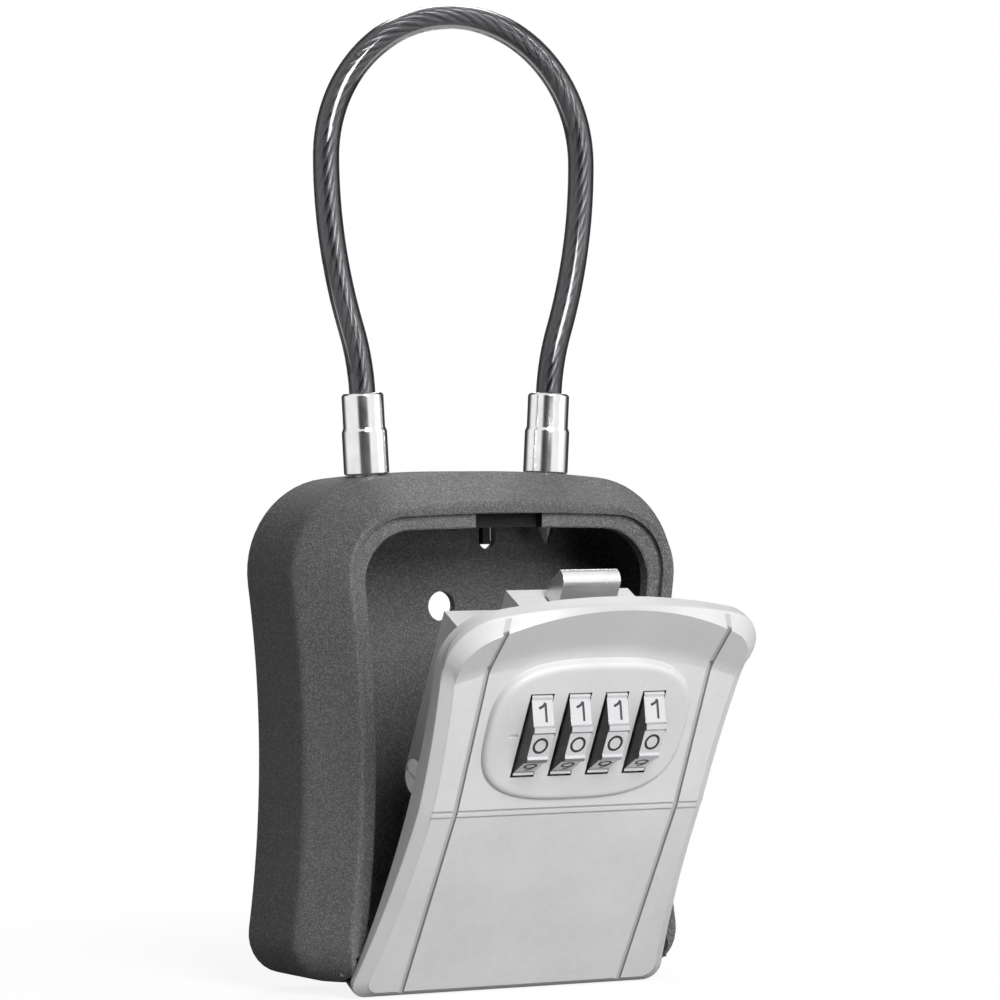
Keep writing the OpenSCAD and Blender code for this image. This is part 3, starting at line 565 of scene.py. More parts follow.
def mesh_from(name: str, bm: bmesh.types.BMesh) -> bpy.types.Mesh:
    """Turns a bmesh into a mesh and frees the bmesh.

    Args:
        name: the mesh's name.
        bm: the bmesh.

    Returns:
        The mesh.
    """
    mesh = bpy.data.meshes.new(name)
    bm.to_mesh(mesh)
    bm.free()
    return mesh


def put_in_scene(name: str, data: bpy.types.ID) -> bpy.types.Object:
    """Makes an object of a mesh, a lamp or a camera and puts it into the scene.

    Args:
        name: the object's name.
        data: what it shows.

    Returns:
        The object.
    """
    made = bpy.data.objects.new(name, data)
    bpy.context.scene.collection.objects.link(made)
    return made


def even_normals(piece: bpy.types.Object) -> None:
    """Weights a piece's normals by the size of its faces, so that flats stay flat beside round edges."""
    piece.modifiers.new("even_normals", "WEIGHTED_NORMAL").keep_sharp = True


class Workshop:
    """Makes finished objects from bmeshes and keeps each material once."""

    # Turns below which a face runs smoothly on, above which a CAD edge is rounded and below which it is flat
    SMOOTH_DEG = 32.0
    ROUNDED_DEG = 35.0
    FLAT_DEG = 0.6
    MERGE = 2e-6

    def __init__(self, frame: dict) -> None:
        record = frame["record"]
        effects = Effects()
        self.nodes: dict[str, bpy.types.Object] = frame["nodes"]
        self.materials = {slot: finish.build(effects) for slot, finish in SLOT_FINISH.items()}
        self.ink = DIGIT_INK.build(effects)
        # Painted shade: near black for the dial gaps and the keeper notch, darker door paint for the grooves
        self.gap_painted_shade = GAP_PAINTED_SHADE.build(effects)
        self.notch_painted_shade = NOTCH_PAINTED_SHADE.build(effects)
        self.groove = GROOVE_PAINTED_SHADE.build(effects)
        self.bolt_metal = BOLT_METAL.build(effects)
        self.body_of = {n: b for b, names in record["behaviour"]["bodies"].items() for n in names}
        self.slot_of = {s["node"]: Slot(s["material_slot"]) for s in record["subparts"]}

    def object_from(self, name: str, bm: bmesh.types.BMesh,
                    *materials: bpy.types.Material) -> bpy.types.Object:
        """Turns a bmesh into a smooth-shaded object whose sharp edges stay sharp, and frees the bmesh.

        Args:
            name: the piece's name.
            bm: the mesh in the model's frame.
            materials: the piece's materials, in the order that its faces count them.

        Returns:
            The new object.
        """
        limit = math.radians(self.SMOOTH_DEG)
        for face in bm.faces:
            face.smooth = True
        for edge in bm.edges:
            edge.smooth = len(edge.link_faces) == 2 and edge.calc_face_angle(0.0) < limit
        mesh = mesh_from(name, bm)
        for material in materials:
            mesh.materials.append(material)
        return put_in_scene(name, mesh)

    def place(self, piece: bpy.types.Object, body: str, slot: Slot | None, *replaced: str) -> None:
        """Lets a piece ride on a body and stand for CAD nodes.

        Args:
            piece: the finished piece.
            body: the body it moves with.
            slot: the record's material slot, or None; not used.
            replaced: the nodes that it stands for.
        """
        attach(piece, body)
        if replaced:
            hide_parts(*replaced)
        LOG.info("%s on %s: %d faces", piece.name, body, len(piece.data.polygons))

    def soften(self, node: str, radius_mm: float, segments: int = 2) -> bpy.types.Object:
        """Replaces a CAD node by a copy of it whose edges are rounded.

        Args:
            node: the node's name.
            radius_mm: the width of the rounding, or 0 for none.
            segments: the faces across each rounding.

        Returns:
            The new piece.
        """
        bm = bmesh.new()
        bm.from_mesh(self.nodes[node].data)
        bmesh.ops.remove_doubles(bm, verts=bm.verts, dist=self.MERGE)
        bmesh.ops.dissolve_limit(bm, angle_limit=math.radians(self.FLAT_DEG), verts=bm.verts, edges=bm.edges,
                                 use_dissolve_boundaries=False, delimit=set())
        limit = math.radians(self.ROUNDED_DEG)
        sharp = [e for e in bm.edges if len(e.link_faces) == 2 and e.calc_face_angle(0.0) > limit]
        if radius_mm and sharp:
            bmesh.ops.bevel(bm, geom=sharp, offset=radius_mm * MM, offset_type="OFFSET", segments=segments,
                            profile=0.5, affect="EDGES", clamp_overlap=True, material=-1)
        slot = self.slot_of[node]
        piece = self.object_from(node + "_finished", bm, self.materials[slot])
        even_normals(piece)
        self.place(piece, self.body_of[node], slot, node)
        return piece


class Cut(Enum):
    """What a boolean step does."""

    JOIN = "UNION"
    REMOVE = "DIFFERENCE"
    KEEP = "INTERSECT"


@dataclass(frozen=True)
class Outline:
    """Hourglass outline: foot arcs, hollow sides, corner arcs and a crown, all tangent, in millimetres."""

    inset: float
    top_z: float
    crown: float
    corner: float
    foot: float
    foot_z: float

    WAIST_HALF = 48.0
    WAIST_Z = 52.0
    SIDE_R = 296.0
    STEPS = (8, 36, 14, 20)

    def toward(self, other: Outline, share: float) -> Outline:
        """Mixes two outlines.

        Args:
            other: the outline at share 1.
            share: how far towards it.

        Returns:
            The outline in between.
        """
        return Outline(*(a + (b - a) * share for a, b in zip(astuple(self), astuple(other))))

    def grown(self, by: float) -> Outline:
        """Returns the outline moved outwards by a distance."""
        return Outline(self.inset - by, self.top_z + by, self.crown + by, self.corner + by, self.foot + by,
                       self.foot_z - by)

    def points(self) -> list[Point]:
        """Returns the closed outline as points in X and Z."""
        side = Vector((self.WAIST_HALF + self.SIDE_R, self.WAIST_Z))
        side_r = self.SIDE_R + self.inset
        crown = Vector((0.0, self.top_z - self.crown))
        corner = meet(side, side_r + self.corner, crown, self.crown - self.corner)
        low_z = self.foot_z + self.foot
        reach = math.sqrt((side_r + self.foot) ** 2 - (side.y - low_z) ** 2)
        foot = Vector((side.x - reach, low_z))
        up = math.atan2(corner.y - side.y, corner.x - side.x)
        low = math.atan2(foot.y - side.y, foot.x - side.x) + math.tau
        top = math.atan2(corner.y - crown.y, corner.x - crown.x)
        half = []
        turns = ((foot, self.foot, -math.pi / 2, low - math.pi), (side, side_r, low, up),
                 (corner, self.corner, up - math.pi, top), (crown, self.crown, top, math.pi / 2))
        for (centre, radius, first, last), steps in zip(turns, self.STEPS):
            for i in range(1 if half else 0, steps + 1):
                angle = first + (last - first) * i / steps
                half.append((centre.x + radius * math.cos(angle), centre.y + radius * math.sin(angle)))
        return half + [(-x, z) for x, z in reversed(half[:-1])]

    def at(self, y: float) -> list[Vector]:
        """Returns the outline as a ring in the plane at that Y."""
        return [Vector((x, y, z)) for x, z in self.points()]


def meet(a: Vector, ra: float, b: Vector, rb: float) -> Vector:
    """Finds the point at distance ra from a and rb from b, on the right of the way from a to b.

    Args:
        a: the first centre.
        ra: the distance from it.
        b: the second centre.
        rb: the distance from it.

    Returns:
        The point.
    """
    line = b - a
    span = line.length
    along = (ra * ra - rb * rb + span * span) / (2 * span)
    off = math.sqrt(ra * ra - along * along)
    return a + line * (along / span) - off * Vector((-line.y, line.x)) / span


def ring_edges(bm: bmesh.types.BMesh, verts: list[bmesh.types.BMVert]) -> list[bmesh.types.BMEdge]:
    """Returns the edges of a closed ring of vertices, and makes those that are missing."""
    return [bm.edges.get(pair) or bm.edges.new(pair) for pair in zip(verts, verts[1:] + verts[:1])]


def loft(rings: list[list[Vector]]) -> bmesh.types.BMesh:
    """Makes a closed solid through rings of equal count, by extruding the first ring's edges.

    Args:
        rings: the rings in order.

    Returns:
        The solid.
    """
    bm = bmesh.new()
    verts = [bm.verts.new(p) for p in rings[0]]
    edges = ring_edges(bm, verts)
    bmesh.ops.contextual_create(bm, geom=edges)
    for ring in rings[1:]:
        number = {v: i for i, v in enumerate(verts)}
        made = bmesh.ops.extrude_edge_only(bm, edges=edges)["geom"]
        verts = [None] * len(ring)
        for vert in (v for v in made if isinstance(v, bmesh.types.BMVert)):
            index = next(number[e.other_vert(vert)] for e in vert.link_edges if e.other_vert(vert) in number)
            vert.co = ring[index]
            verts[index] = vert
        edges = ring_edges(bm, verts)
    bmesh.ops.contextual_create(bm, geom=edges)
    bmesh.ops.recalc_face_normals(bm, faces=bm.faces)
    return bm


def prism(points: list[Point], low: float, high: float, along: str = "Y") -> bmesh.types.BMesh:
    """Extrudes an outline.

    Args:
        points: the outline, in X and Z when along is Y, and in Y and Z when along is X.
        low: the first plane.
        high: the second plane.
        along: the extrusion's axis.

    Returns:
        The solid.
    """
    bm = bmesh.new()
    corners = [(x, low, z) if along == "Y" else (low, x, z) for x, z in points]
    face = bm.faces.new([bm.verts.new(corner) for corner in corners])
    made = bmesh.ops.extrude_face_region(bm, geom=[face])["geom"]
    run = Vector((0, high - low, 0)) if along == "Y" else Vector((high - low, 0, 0))
    bmesh.ops.translate(bm, verts=[v for v in made if isinstance(v, bmesh.types.BMVert)], vec=run)
    bmesh.ops.recalc_face_normals(bm, faces=bm.faces)
    return bm


def block(low: Place, high: Place) -> bmesh.types.BMesh:
    """Makes a box.

    Args:
        low: its lowest corner.
        high: its highest corner.

    Returns:
        The solid.
    """
    a, b = Vector(low), Vector(high)
    bm = bmesh.new()
    size = Matrix.Diagonal((*(b - a), 1.0))
    bmesh.ops.create_cube(bm, size=1.0, matrix=Matrix.Translation((a + b) / 2) @ size)
    return bm


def rod(axis: str, radius: float, low: float, high: float, first: float, second: float,
        sides: int = 64) -> bmesh.types.BMesh:
    """Makes a rod along one axis.

    Args:
        axis: X, Y or Z.
        radius: its radius.
        low: where it starts on the axis.
        high: where it ends on the axis.
        first: its place on the first other axis.
        second: its place on the second other axis.
        sides: its corners.

    Returns:
        The solid.
    """
    middle = (low + high) / 2
    spots = {"X": (middle, first, second), "Y": (first, middle, second), "Z": (first, second, middle)}
    turns = {"X": Matrix.Rotation(math.pi / 2, 4, "Y"), "Y": Matrix.Rotation(math.pi / 2, 4, "X"),
             "Z": Matrix.Identity(4)}
    bm = bmesh.new()
    bmesh.ops.create_cone(bm, cap_ends=True, segments=sides, radius1=radius, radius2=radius, depth=high - low,
                          matrix=Matrix.Translation(spots[axis]) @ turns[axis])
    return bm


def mirrored(bm: bmesh.types.BMesh) -> bmesh.types.BMesh:
    """Copies a solid to the other side of X = 0.

    Args:
        bm: the solid, which stays.

    Returns:
        The mirrored copy.
    """
    other = bm.copy()
    other.transform(Matrix.Scale(-1, 4, (1, 0, 0)))
    bmesh.ops.reverse_faces(other, faces=other.faces)
    return other


def both_sides(parts: list[bmesh.types.BMesh]) -> list[bmesh.types.BMesh]:
    """Returns each solid, with its mirrored copy before it."""
    return [solid for part in parts for solid in (mirrored(part), part)]


def carve(base: bmesh.types.BMesh, steps: list[tuple[Cut, bmesh.types.BMesh]]) -> bmesh.types.BMesh:
    """Runs boolean steps on a solid and frees what it used.

    Args:
        base: the solid to start from.
        steps: pairs of what to do and the other solid, in order.

    Returns:
        The carved solid.
    """
    solids = [base] + [other for _, other in steps]
    objects = [put_in_scene(f"carving_{i}", mesh_from(f"carving_{i}", bm)) for i, bm in enumerate(solids)]
    for (kind, _), piece in zip(steps, objects[1:]):
        step = objects[0].modifiers.new("step", "BOOLEAN")
        step.operation, step.solver, step.object = kind.value, "MANIFOLD", piece
    carved = bpy.data.meshes.new_from_object(objects[0].evaluated_get(bpy.context.evaluated_depsgraph_get()))
    result = bmesh.new()
    result.from_mesh(carved)
    bpy.data.meshes.remove(carved)
    for piece in objects:
        mesh = piece.data
        bpy.data.objects.remove(piece)
        bpy.data.meshes.remove(mesh)
    bmesh.ops.remove_doubles(result, verts=result.verts, dist=CARVED_MERGE_MM)
    return result


@dataclass
class HousingShell:
    """Cast body: hourglass shell with a soft crease, a bevelled rim, a rabbet and a lip for the latch."""

    # Outside, with the crease from which the sides slope inwards
    height: float = HEIGHT_MM
    crown: float = 300.0
    corner: float = 22.0
    foot: float = 9.5
    crease_y: float = -24.5
    edge_round: float = 0.9
    edge_round_middle: float = 0.3
    crease_round: float = 1.6
    crease_steps: int = 4

    # Rim, drawn inwards, with its round edge as insets and depths, its flat land and its bevel
    rim_y: float = RIM_Y_MM
    rim_draw: float = 7.6
    rim_drop: float = 7.0
    rim_crown: float = 293.0
    rim_corner: float = 15.5
    rim_margin: float = 0.8
    rim_round: tuple[Point, ...] = ((-0.2, 0.45), (-0.02, 0.2), (0.2, 0.06), (0.45, 0.0))
    rim_land: float = 0.6
    bevel_w: float = 2.5
    bevel_d: float = 0.8
    bevel_bow: Point = (0.6, 0.22)

    # Rabbet that takes the door's edge, and the lip inside it
    rabbet_drop: float = 9.7
    rabbet_crown: float = 560.0
    rabbet_corner: float = 13.0
    rabbet_foot: float = 4.0
    rabbet_round: float = 0.3
    lip_face_y: float = -36.2
    lip_back_y: float = -32.8
    lip_w: float = 2.9
    lip_drop: float = 13.2
    lip_crown: float = 900.0
    lip_corner: float = 12.0
    lip_foot: float = 6.0
    lip_foot_z: float = -20.0
    lip_round: float = 0.35

    # Hollow inside the walls
    wall: float = 4.2
    back_wall: float = 2.4
    hollow_foot: float = 6.0
    hollow_floor_z: float = 2.0
    hollow_round: float = 1.6
    hollow_round_middle: float = 0.5
    hollow_draw: float = 3.8

    # Lower front corners, the gap below the door and the hinge bosses
    cheek_x: float = 41.5
    cheek_round: float = 9.0
    gap_back_y: float = -27.75
    gap_top_z: float = 6.5
    boss_x: float = 34.0
    boss_overlap: float = 2.0
    boss_front: float = 4.9
    boss_behind: float = 5.3
    boss_z: Point = (2.1, 7.4)
    knuckle_r: float = 4.8
    pin_r: float = 1.53
    pin_ends: Point = (0.4, 0.5)

    # Keeper notch in the lip for the bolt, painted shade on its faces behind notch_lit, and the wall behind
    # it
    notch_half: float = 8.8
    notch_back_y: float = -33.4
    notch_low_z: float = 100.0
    notch_rise: float = 3.3
    notch_lit: float = 0.3
    keeper_wall: float = 1.7
    keeper_back_y: float = -30.0
    keeper_drop: float = 6.0

    # Wells of the cable's legs as X and Y, screw holes, and the slot as middle, radius, low and top
    leg: Point = (LEG_X_MM, LEG_Y_MM)
    well_r: float = 3.06
    well_depth: float = 10.0
    well_boss_r: float = 5.5
    well_boss_depth: float = 8.8
    hole_r: float = 3.6
    hole_z: Point = (85.7, 31.7)
    hole_depth: float = 4.0
    slot: tuple[float, float, float, float] = (12.5, 2.2, 99.2, 110.8)
    cut: float = 1.0

    def body(self, inset: float = 0.0) -> Outline:
        """Returns the outline of the straight part."""
        return Outline(inset, self.height - inset, self.crown - inset, self.corner - inset, self.foot, 0.0)

    def rim(self, inset: float = 0.0) -> Outline:
        """Returns the outline at the rim."""
        return Outline(self.rim_draw + inset, self.height - self.rim_drop - inset, self.rim_crown,
                       self.rim_corner - inset, self.foot, 0.0)

    def rabbet(self, inset: float = 0.0) -> Outline:
        """Returns the outline of the rabbet that takes the door's edge."""
        return Outline(self.rim_draw + self.bevel_w + inset, self.height - self.rabbet_drop - inset,
                       self.rabbet_crown, self.rabbet_corner - inset, self.rabbet_foot, 0.0)

    def lip(self) -> Outline:
        """Returns the outline of the opening inside the lip."""
        return Outline(self.rim_draw + self.bevel_w + self.lip_w, self.height - self.lip_drop, self.lip_crown,
                       self.lip_corner, self.lip_foot, self.lip_foot_z)

    def cavity(self, inset: float) -> Outline:
        """Returns the outline of the hollow inside."""
        return Outline(inset, self.height - inset, self.crown - inset, self.corner - inset, self.hollow_foot,
                       self.hollow_floor_z)

    def notch_top(self) -> float:
        """Returns the height of the keeper notch's roof."""
        return self.height - self.lip_drop + self.notch_rise

    def outer(self) -> bmesh.types.BMesh:
        """Lofts the outside with rounded back, crease and rim edges.

        Returns:
            The solid.
        """
        r, r_middle, c = self.edge_round, self.edge_round_middle * self.edge_round, self.crease_round
        slope = self.crease_y - self.rim_y
        rings = [self.body(r).at(0.0), self.body(r_middle).at(-r_middle), self.body().at(-r),
                 self.body().at(self.crease_y / 2), self.body().at(self.crease_y + c)]
        for i in range(1, self.crease_steps):
            t = i / self.crease_steps
            y = self.crease_y + c * ((1 - t) ** 2 - t * t)
            rings.append(self.body().toward(self.rim(), c * t * t / slope).at(y))
        for share in (c / slope, 0.5, 1 - self.rim_margin / slope):
            rings.append(self.body().toward(self.rim(), share).at(self.crease_y - slope * share))
        rings += [self.rim(inset).at(self.rim_y + depth) for inset, depth in self.rim_round]
        return loft(rings)

    def hollow(self) -> bmesh.types.BMesh:
        """Lofts the inside with a soft corner at the back wall.

        Returns:
            The solid to remove.
        """
        w, y, r, r_middle = self.wall, -self.back_wall, self.hollow_round, self.hollow_round_middle
        return loft([self.cavity(w + r).at(y), self.cavity(w + r_middle).at(y - r_middle),
                     self.cavity(w).at(y - r), self.cavity(w).at(self.crease_y),
                     self.cavity(w + self.hollow_draw).at(self.lip_back_y)])

    def front(self) -> list[bmesh.types.BMesh]:
        """Returns what opens the front: the lip's opening, the rabbet, its bevel and the bottom gap."""
        lip, face, before = self.lip(), self.lip_face_y, self.rim_y - self.cut
        opening = loft([lip.at(self.lip_back_y + self.cut), lip.at(face + self.lip_round),
                        lip.grown(self.lip_round).at(face), lip.grown(self.lip_round).at(before)])
        rabbet = loft([self.rabbet(self.rabbet_round).at(face), self.rabbet().at(face - self.rabbet_round),
                       self.rabbet().at(before)])
        land = self.rim(self.rim_land)
        share, depth = self.bevel_bow
        bevel = loft([self.rabbet().at(self.rim_y + self.bevel_d),
                      self.rabbet().toward(land, share).at(self.rim_y + depth), land.at(self.rim_y),
                      land.at(before)])
        gap = block((-self.cheek_x, before, -self.cut), (self.cheek_x, self.gap_back_y, self.gap_top_z))
        return [opening, rabbet, bevel, gap]

    def notch(self) -> bmesh.types.BMesh:
        """Returns what cuts the keeper notch into the lip."""
        return block((-self.notch_half, self.lip_face_y - self.cut, self.notch_low_z),
                     (self.notch_half, self.notch_back_y, self.notch_top()))

    def keeper(self) -> bmesh.types.BMesh:
        """Returns the wall behind the keeper notch."""
        half = self.notch_half + self.keeper_wall
        return block((-half, self.notch_back_y, self.height - self.lip_drop),
                     (half, self.keeper_back_y, self.height - self.keeper_drop))

    def cheeks(self) -> bmesh.types.BMesh:
        """Returns what rounds the lower front corners of the side walls."""
        radius, wide, y = self.cheek_round, self.height, self.rim_y + self.cheek_round
        corner = block((-wide, self.rim_y - self.cut, -self.cut), (wide, y, radius))
        round_part = rod("X", radius, -wide - self.cut, wide + self.cut, y, radius, sides=96)
        return carve(corner, [(Cut.REMOVE, round_part)])

    def bosses(self) -> list[bmesh.types.BMesh]:
        """Returns the hinge bosses with their knuckles and the bosses round the legs' wells."""
        inner_x, outer_x = self.boss_x, self.cheek_x + self.boss_overlap
        low, high = self.boss_z
        x, y = self.leg
        return both_sides([
            block((inner_x, self.rim_y + self.boss_front, low),
                  (outer_x, HINGE_Y_MM + self.boss_behind, high)),
            rod("X", self.knuckle_r, inner_x, outer_x, HINGE_Y_MM, HINGE_Z_MM),
            rod("Z", self.well_boss_r, self.height - self.well_boss_depth, self.height - self.wall, x, y),
        ])

    def bores(self) -> list[bmesh.types.BMesh]:
        """Returns the bores for the pins and the legs, the wall screws' holes and the catch's slot."""
        inner, outer = self.pin_ends
        x, y = self.leg
        tools = both_sides([
            rod("X", self.pin_r, self.boss_x - inner, self.cheek_x - outer, HINGE_Y_MM, HINGE_Z_MM),
            rod("Z", self.well_r, self.height - self.well_depth, self.height + self.cut, x, y),
        ])
        tools += [rod("Y", self.hole_r, -self.hole_depth, self.cut, 0.0, z) for z in self.hole_z]
        mid, radius, low, top = self.slot
        tools += [rod("Y", radius, -self.hole_depth, self.cut, mid, low + radius),
                  block((mid - radius, -self.hole_depth, low + radius), (mid + radius, self.cut, top))]
        return tools

    def paint_notch_shade(self, bm: bmesh.types.BMesh) -> None:
        """Gives the faces deep in the keeper notch the piece's second material, a near-black painted shade.

        Args:
            bm: the carved body, in body millimetres.
        """
        front, back = self.lip_face_y + self.notch_lit, self.notch_back_y + NEAR_MM
        for face in bm.faces:
            at = face.calc_center_median()
            across = abs(at.x) < self.notch_half + NEAR_MM
            upright = self.notch_low_z < at.z < self.notch_top() + NEAR_MM
            face.material_index = int(across and upright and front < at.y < back)

    def build(self, shop: Workshop) -> None:
        """Builds the body and lets it stand for its CAD node.

        Args:
            shop: makes the piece.
        """
        steps = [(Cut.REMOVE, part) for part in (self.hollow(), *self.front(), self.notch(), self.cheeks())]
        steps += [(Cut.JOIN, part) for part in (self.keeper(), *self.bosses())]
        steps += [(Cut.REMOVE, part) for part in self.bores()]
        bm = carve(self.outer(), steps)
        self.paint_notch_shade(bm)
        bm.transform(body_matrix())
        piece = shop.object_from("housing_shell", bm, shop.materials[Slot.HOUSING], shop.notch_painted_shade)
        even_normals(piece)
        shop.place(piece, "housing", Slot.HOUSING, "housing")


@dataclass
class DoorShell:
    """Moulded door: two sloping planes, bevelled border, brow over the dials, pad, windows and grooves."""

    # Sloping planes, flange and seat
    height: float = HEIGHT_MM
    rim_y: float = RIM_Y_MM
    wall: float = 2.0
    flange_back_y: float = -31.4
    flange_top_z: float = 1.5
    flange_rise: float = 0.6
    seat_y: float = -36.4
    seat_top_z: float = 104.4
    crest_z: float = 52.5
    crest_proud: float = 4.3
    crest_round: float = 0.6
    crest_round_middle: float = 0.35
    crest_bow: float = 0.02
    foot_proud: float = 0.6
    foot_z: float = 1.9
    top_proud: float = 2.7
    top_z: float = 90.0

    # Brow, a cone whose axis runs along Y
    brow_proud: float = 7.3
    brow_mid_z: float = 3.7
    brow_r0: float = 90.0
    brow_r1: float = 102.9
    brow_reach: float = 10.0
    brow_round: float = 2.4
    brow_round_steps: int = 6
    brow_back_y: float = -41.2
    brow_inset: float = 0.9995
    turn_steps: int = 256
    turn_merge: float = 0.0001

    # Outlines, and the border between edge and front as shares of the way inwards and depths
    edge_line: Outline = Outline(inset=10.6, top_z=107.1, crown=150.0, corner=12.0, foot=4.0, foot_z=0.3)
    face_line: Outline = Outline(inset=13.4, top_z=106.6, crown=72.0, corner=10.0, foot=3.0, foot_z=2.7)
    hollow_line: Outline = Outline(inset=12.4, top_z=102.6, crown=150.0, corner=10.2, foot=3.0, foot_z=2.1)
    bevel_d: float = 2.0
    bevel_back: tuple[Point, ...] = ((0.0, 0.45), (0.04, -0.1), (0.14, -0.35))
    bevel_front: tuple[Point, ...] = ((0.86, 0.35), (0.985, 0.02), (1.04, -0.35), (1.3, -4.0))
    front_room: float = 6.0

    # Long upright grooves, and the pair across the crest, painted shade from groove_shade deep
    groove_x: float = 28.9
    groove_w: float = 1.3
    groove_d: float = 0.7
    groove_shade: float = 0.12
    groove_ends: Point = (0.5, 3.0)
    groove_room: float = 20.0
    cross_apart: float = 0.8
    cross_half_w: float = 0.25
    cross_d: float = 0.4
    cross_beyond: float = 6.0

    # Pad with its round edge as growths and depths, dial windows, room for the dials, index marks
    pad_y: float = -43.7
    pad_half: Point = (25.0, 17.2)
    pad_rise: float = 0.3
    pad_power: float = 3.0
    pad_corners: int = 112
    pad_foot: Point = (1.2, 1.9)
    pad_edge: tuple[Point, ...] = ((0.8, 0.9), (0.5, 0.48), (0.1, 0.18), (-0.4, 0.04), (-1.0, 0.0))
    window: Point = (6.1, 21.8)
    window_back: float = 6.0
    window_lit: float = 0.4
    window_deep: float = 9.0
    swing_r: float = 13.35
    flange_r: float = 6.7
    flange_ends: Point = (-2.2, 2.4)
    mark: tuple[float, float, float] = (2.2, 0.9, 0.35)

    # Hinge ears as first X, last X and radius, and screw posts as X, Z and radius
    ear: tuple[float, float, float] = (30.2, 33.6, 3.8)
    ear_root_z: Point = (3.0, 16.0)
    pin_r: float = 1.6
    post: tuple[float, float, float] = (26.0, 64.5, 2.4)
    post_gap: float = 0.1
    post_bore: Point = (1.25, 12.0)
    case_back_y: float = -21.2
    cut: float = 1.0

    def crest_y(self) -> float:
        """Returns where the crest stands."""
        return self.rim_y - self.crest_proud

    def face_y(self, z: float) -> float:
        """Returns the front planes' Y at a height."""
        if z < self.crest_z:
            share = (z - self.foot_z) / (self.crest_z - self.foot_z)
            return self.rim_y - self.foot_proud - (self.crest_proud - self.foot_proud) * share
        share = (z - self.crest_z) / (self.top_z - self.crest_z)
        return self.crest_y() + (self.crest_proud - self.top_proud) * share

    def brow_rise(self) -> float:
        """Returns how far the brow comes forward for each millimetre outwards."""
        return (self.brow_proud - self.top_proud) / (self.brow_r1 - self.brow_r0)

    def brow_y(self, radius: float) -> float:
        """Returns the brow cone's Y at a distance from its axis."""
        return self.face_y(self.top_z) - (radius - self.brow_r0) * self.brow_rise()

    def front_y(self, x: float, z: float) -> float:
        """Returns the front's Y at a point."""
        radius = math.hypot(x, z - self.brow_mid_z)
        plane = self.face_y(z)
        return min(plane, self.brow_y(radius)) if radius > self.brow_r0 else plane

    def border_ring(self, share: float, depth: float) -> list[Vector]:
        """Returns a ring of the bevelled border.

        Args:
            share: how far it lies from the door's edge to the front's outline.
            depth: how far it lies behind the front.

        Returns:
            The ring's points.
        """
        pairs = zip(self.edge_line.points(), self.face_line.points())
        return [Vector((a[0] + (b[0] - a[0]) * share, self.front_y(*b) + depth, a[1] + (b[1] - a[1]) * share))
                for a, b in pairs]

    def edge(self) -> bmesh.types.BMesh:
        """Lofts the door's edge with its bevelled border, open towards the front.

        Returns:
            The solid, which the front's planes cut.
        """
        rings = [self.edge_line.at(self.flange_back_y + self.cut)]
        rings += [self.border_ring(share, self.bevel_d + depth) for share, depth in self.bevel_back]
        rings += [self.border_ring(share, depth) for share, depth in self.bevel_front]
        front = self.rim_y - self.brow_proud - self.front_room
        rings.append([Vector((p.x, front, p.z)) for p in rings[-1]])
        return loft(rings)

    def profile(self) -> bmesh.types.BMesh:
        """Returns the side profile with its softened crest, run along X."""
        top, low, soft = self.height, self.flange_top_z, self.crest_round
        points = [(self.flange_back_y, -self.cut), (self.flange_back_y, low),
                  (self.seat_y, low + self.flange_rise), (self.seat_y, top), (self.face_y(top), top)]
        middle = self.crest_round_middle * soft
        for z in (soft, middle, -middle, -soft):
            depth = self.crest_bow * (soft - abs(z))
            points.append((self.face_y(self.crest_z + z) + depth, self.crest_z + z))
        points.append((self.face_y(-self.cut), -self.cut))
        return prism(points, -self.height, self.height, "X")

    def turned(self, profile: list[Point]) -> bmesh.types.BMesh:
        """Turns a closed profile about the brow's axis.

        Args:
            profile: points as distance from the axis and Y.

        Returns:
            The solid ring.
        """
        bm = bmesh.new()
        ring_edges(bm, [bm.verts.new((r, y, self.brow_mid_z)) for r, y in profile])
        bmesh.ops.spin(bm, geom=bm.verts[:] + bm.edges[:], cent=(0, 0, self.brow_mid_z), axis=(0, 1, 0),
                       angle=math.tau, steps=self.turn_steps, use_merge=True, use_duplicate=False)
        bmesh.ops.remove_doubles(bm, verts=bm.verts, dist=self.turn_merge)
        bmesh.ops.recalc_face_normals(bm, faces=bm.faces)
        return bm

    def brow(self) -> bmesh.types.BMesh:
        """Returns the brow's cone with a soft foot."""
        outer, r0, soft = self.brow_r1 + self.brow_reach, self.brow_r0, self.brow_round
        foot, rise = self.face_y(self.top_z), self.brow_rise()
        profile = [(r0 - soft, foot + self.cut), (r0 - soft, foot)]
        for i in range(1, self.brow_round_steps):
            t = i / self.brow_round_steps
            profile.append((r0 - soft + 2 * soft * t, foot - soft * rise * t * t))
        profile += [(r0 + soft, self.brow_y(r0 + soft)), (outer, self.brow_y(outer)),
                    (outer, foot + self.cut)]
        return self.turned(profile)

    def hollow(self) -> bmesh.types.BMesh:
        """Returns the space behind the front wall."""
        low, top = self.flange_top_z + self.flange_rise, self.edge_line.top_z
        back = self.flange_back_y + self.cut
        tube = prism(self.hollow_line.points(), self.rim_y - self.brow_proud, back)
        side = prism([(back, low), (back, top), (self.face_y(top) + self.wall, top),
                      (self.crest_y() + self.wall, self.crest_z), (self.face_y(low) + self.wall, low)],
                     -self.height, self.height, "X")
        return carve(tube, [(Cut.KEEP, side)])

    def seat(self) -> bmesh.types.BMesh:
        """Returns the step behind the brow, where the door passes under the rim."""
        back, wide = self.flange_back_y + self.cut, self.height / 2
        line = replace(self.edge_line, top_z=self.seat_top_z)
        inner = prism(line.points(), self.brow_back_y - self.cut, back + self.cut)
        outer = block((-wide, self.brow_back_y, self.crest_z), (wide, back, self.crest_z + self.height))
        return carve(outer, [(Cut.REMOVE, inner)])

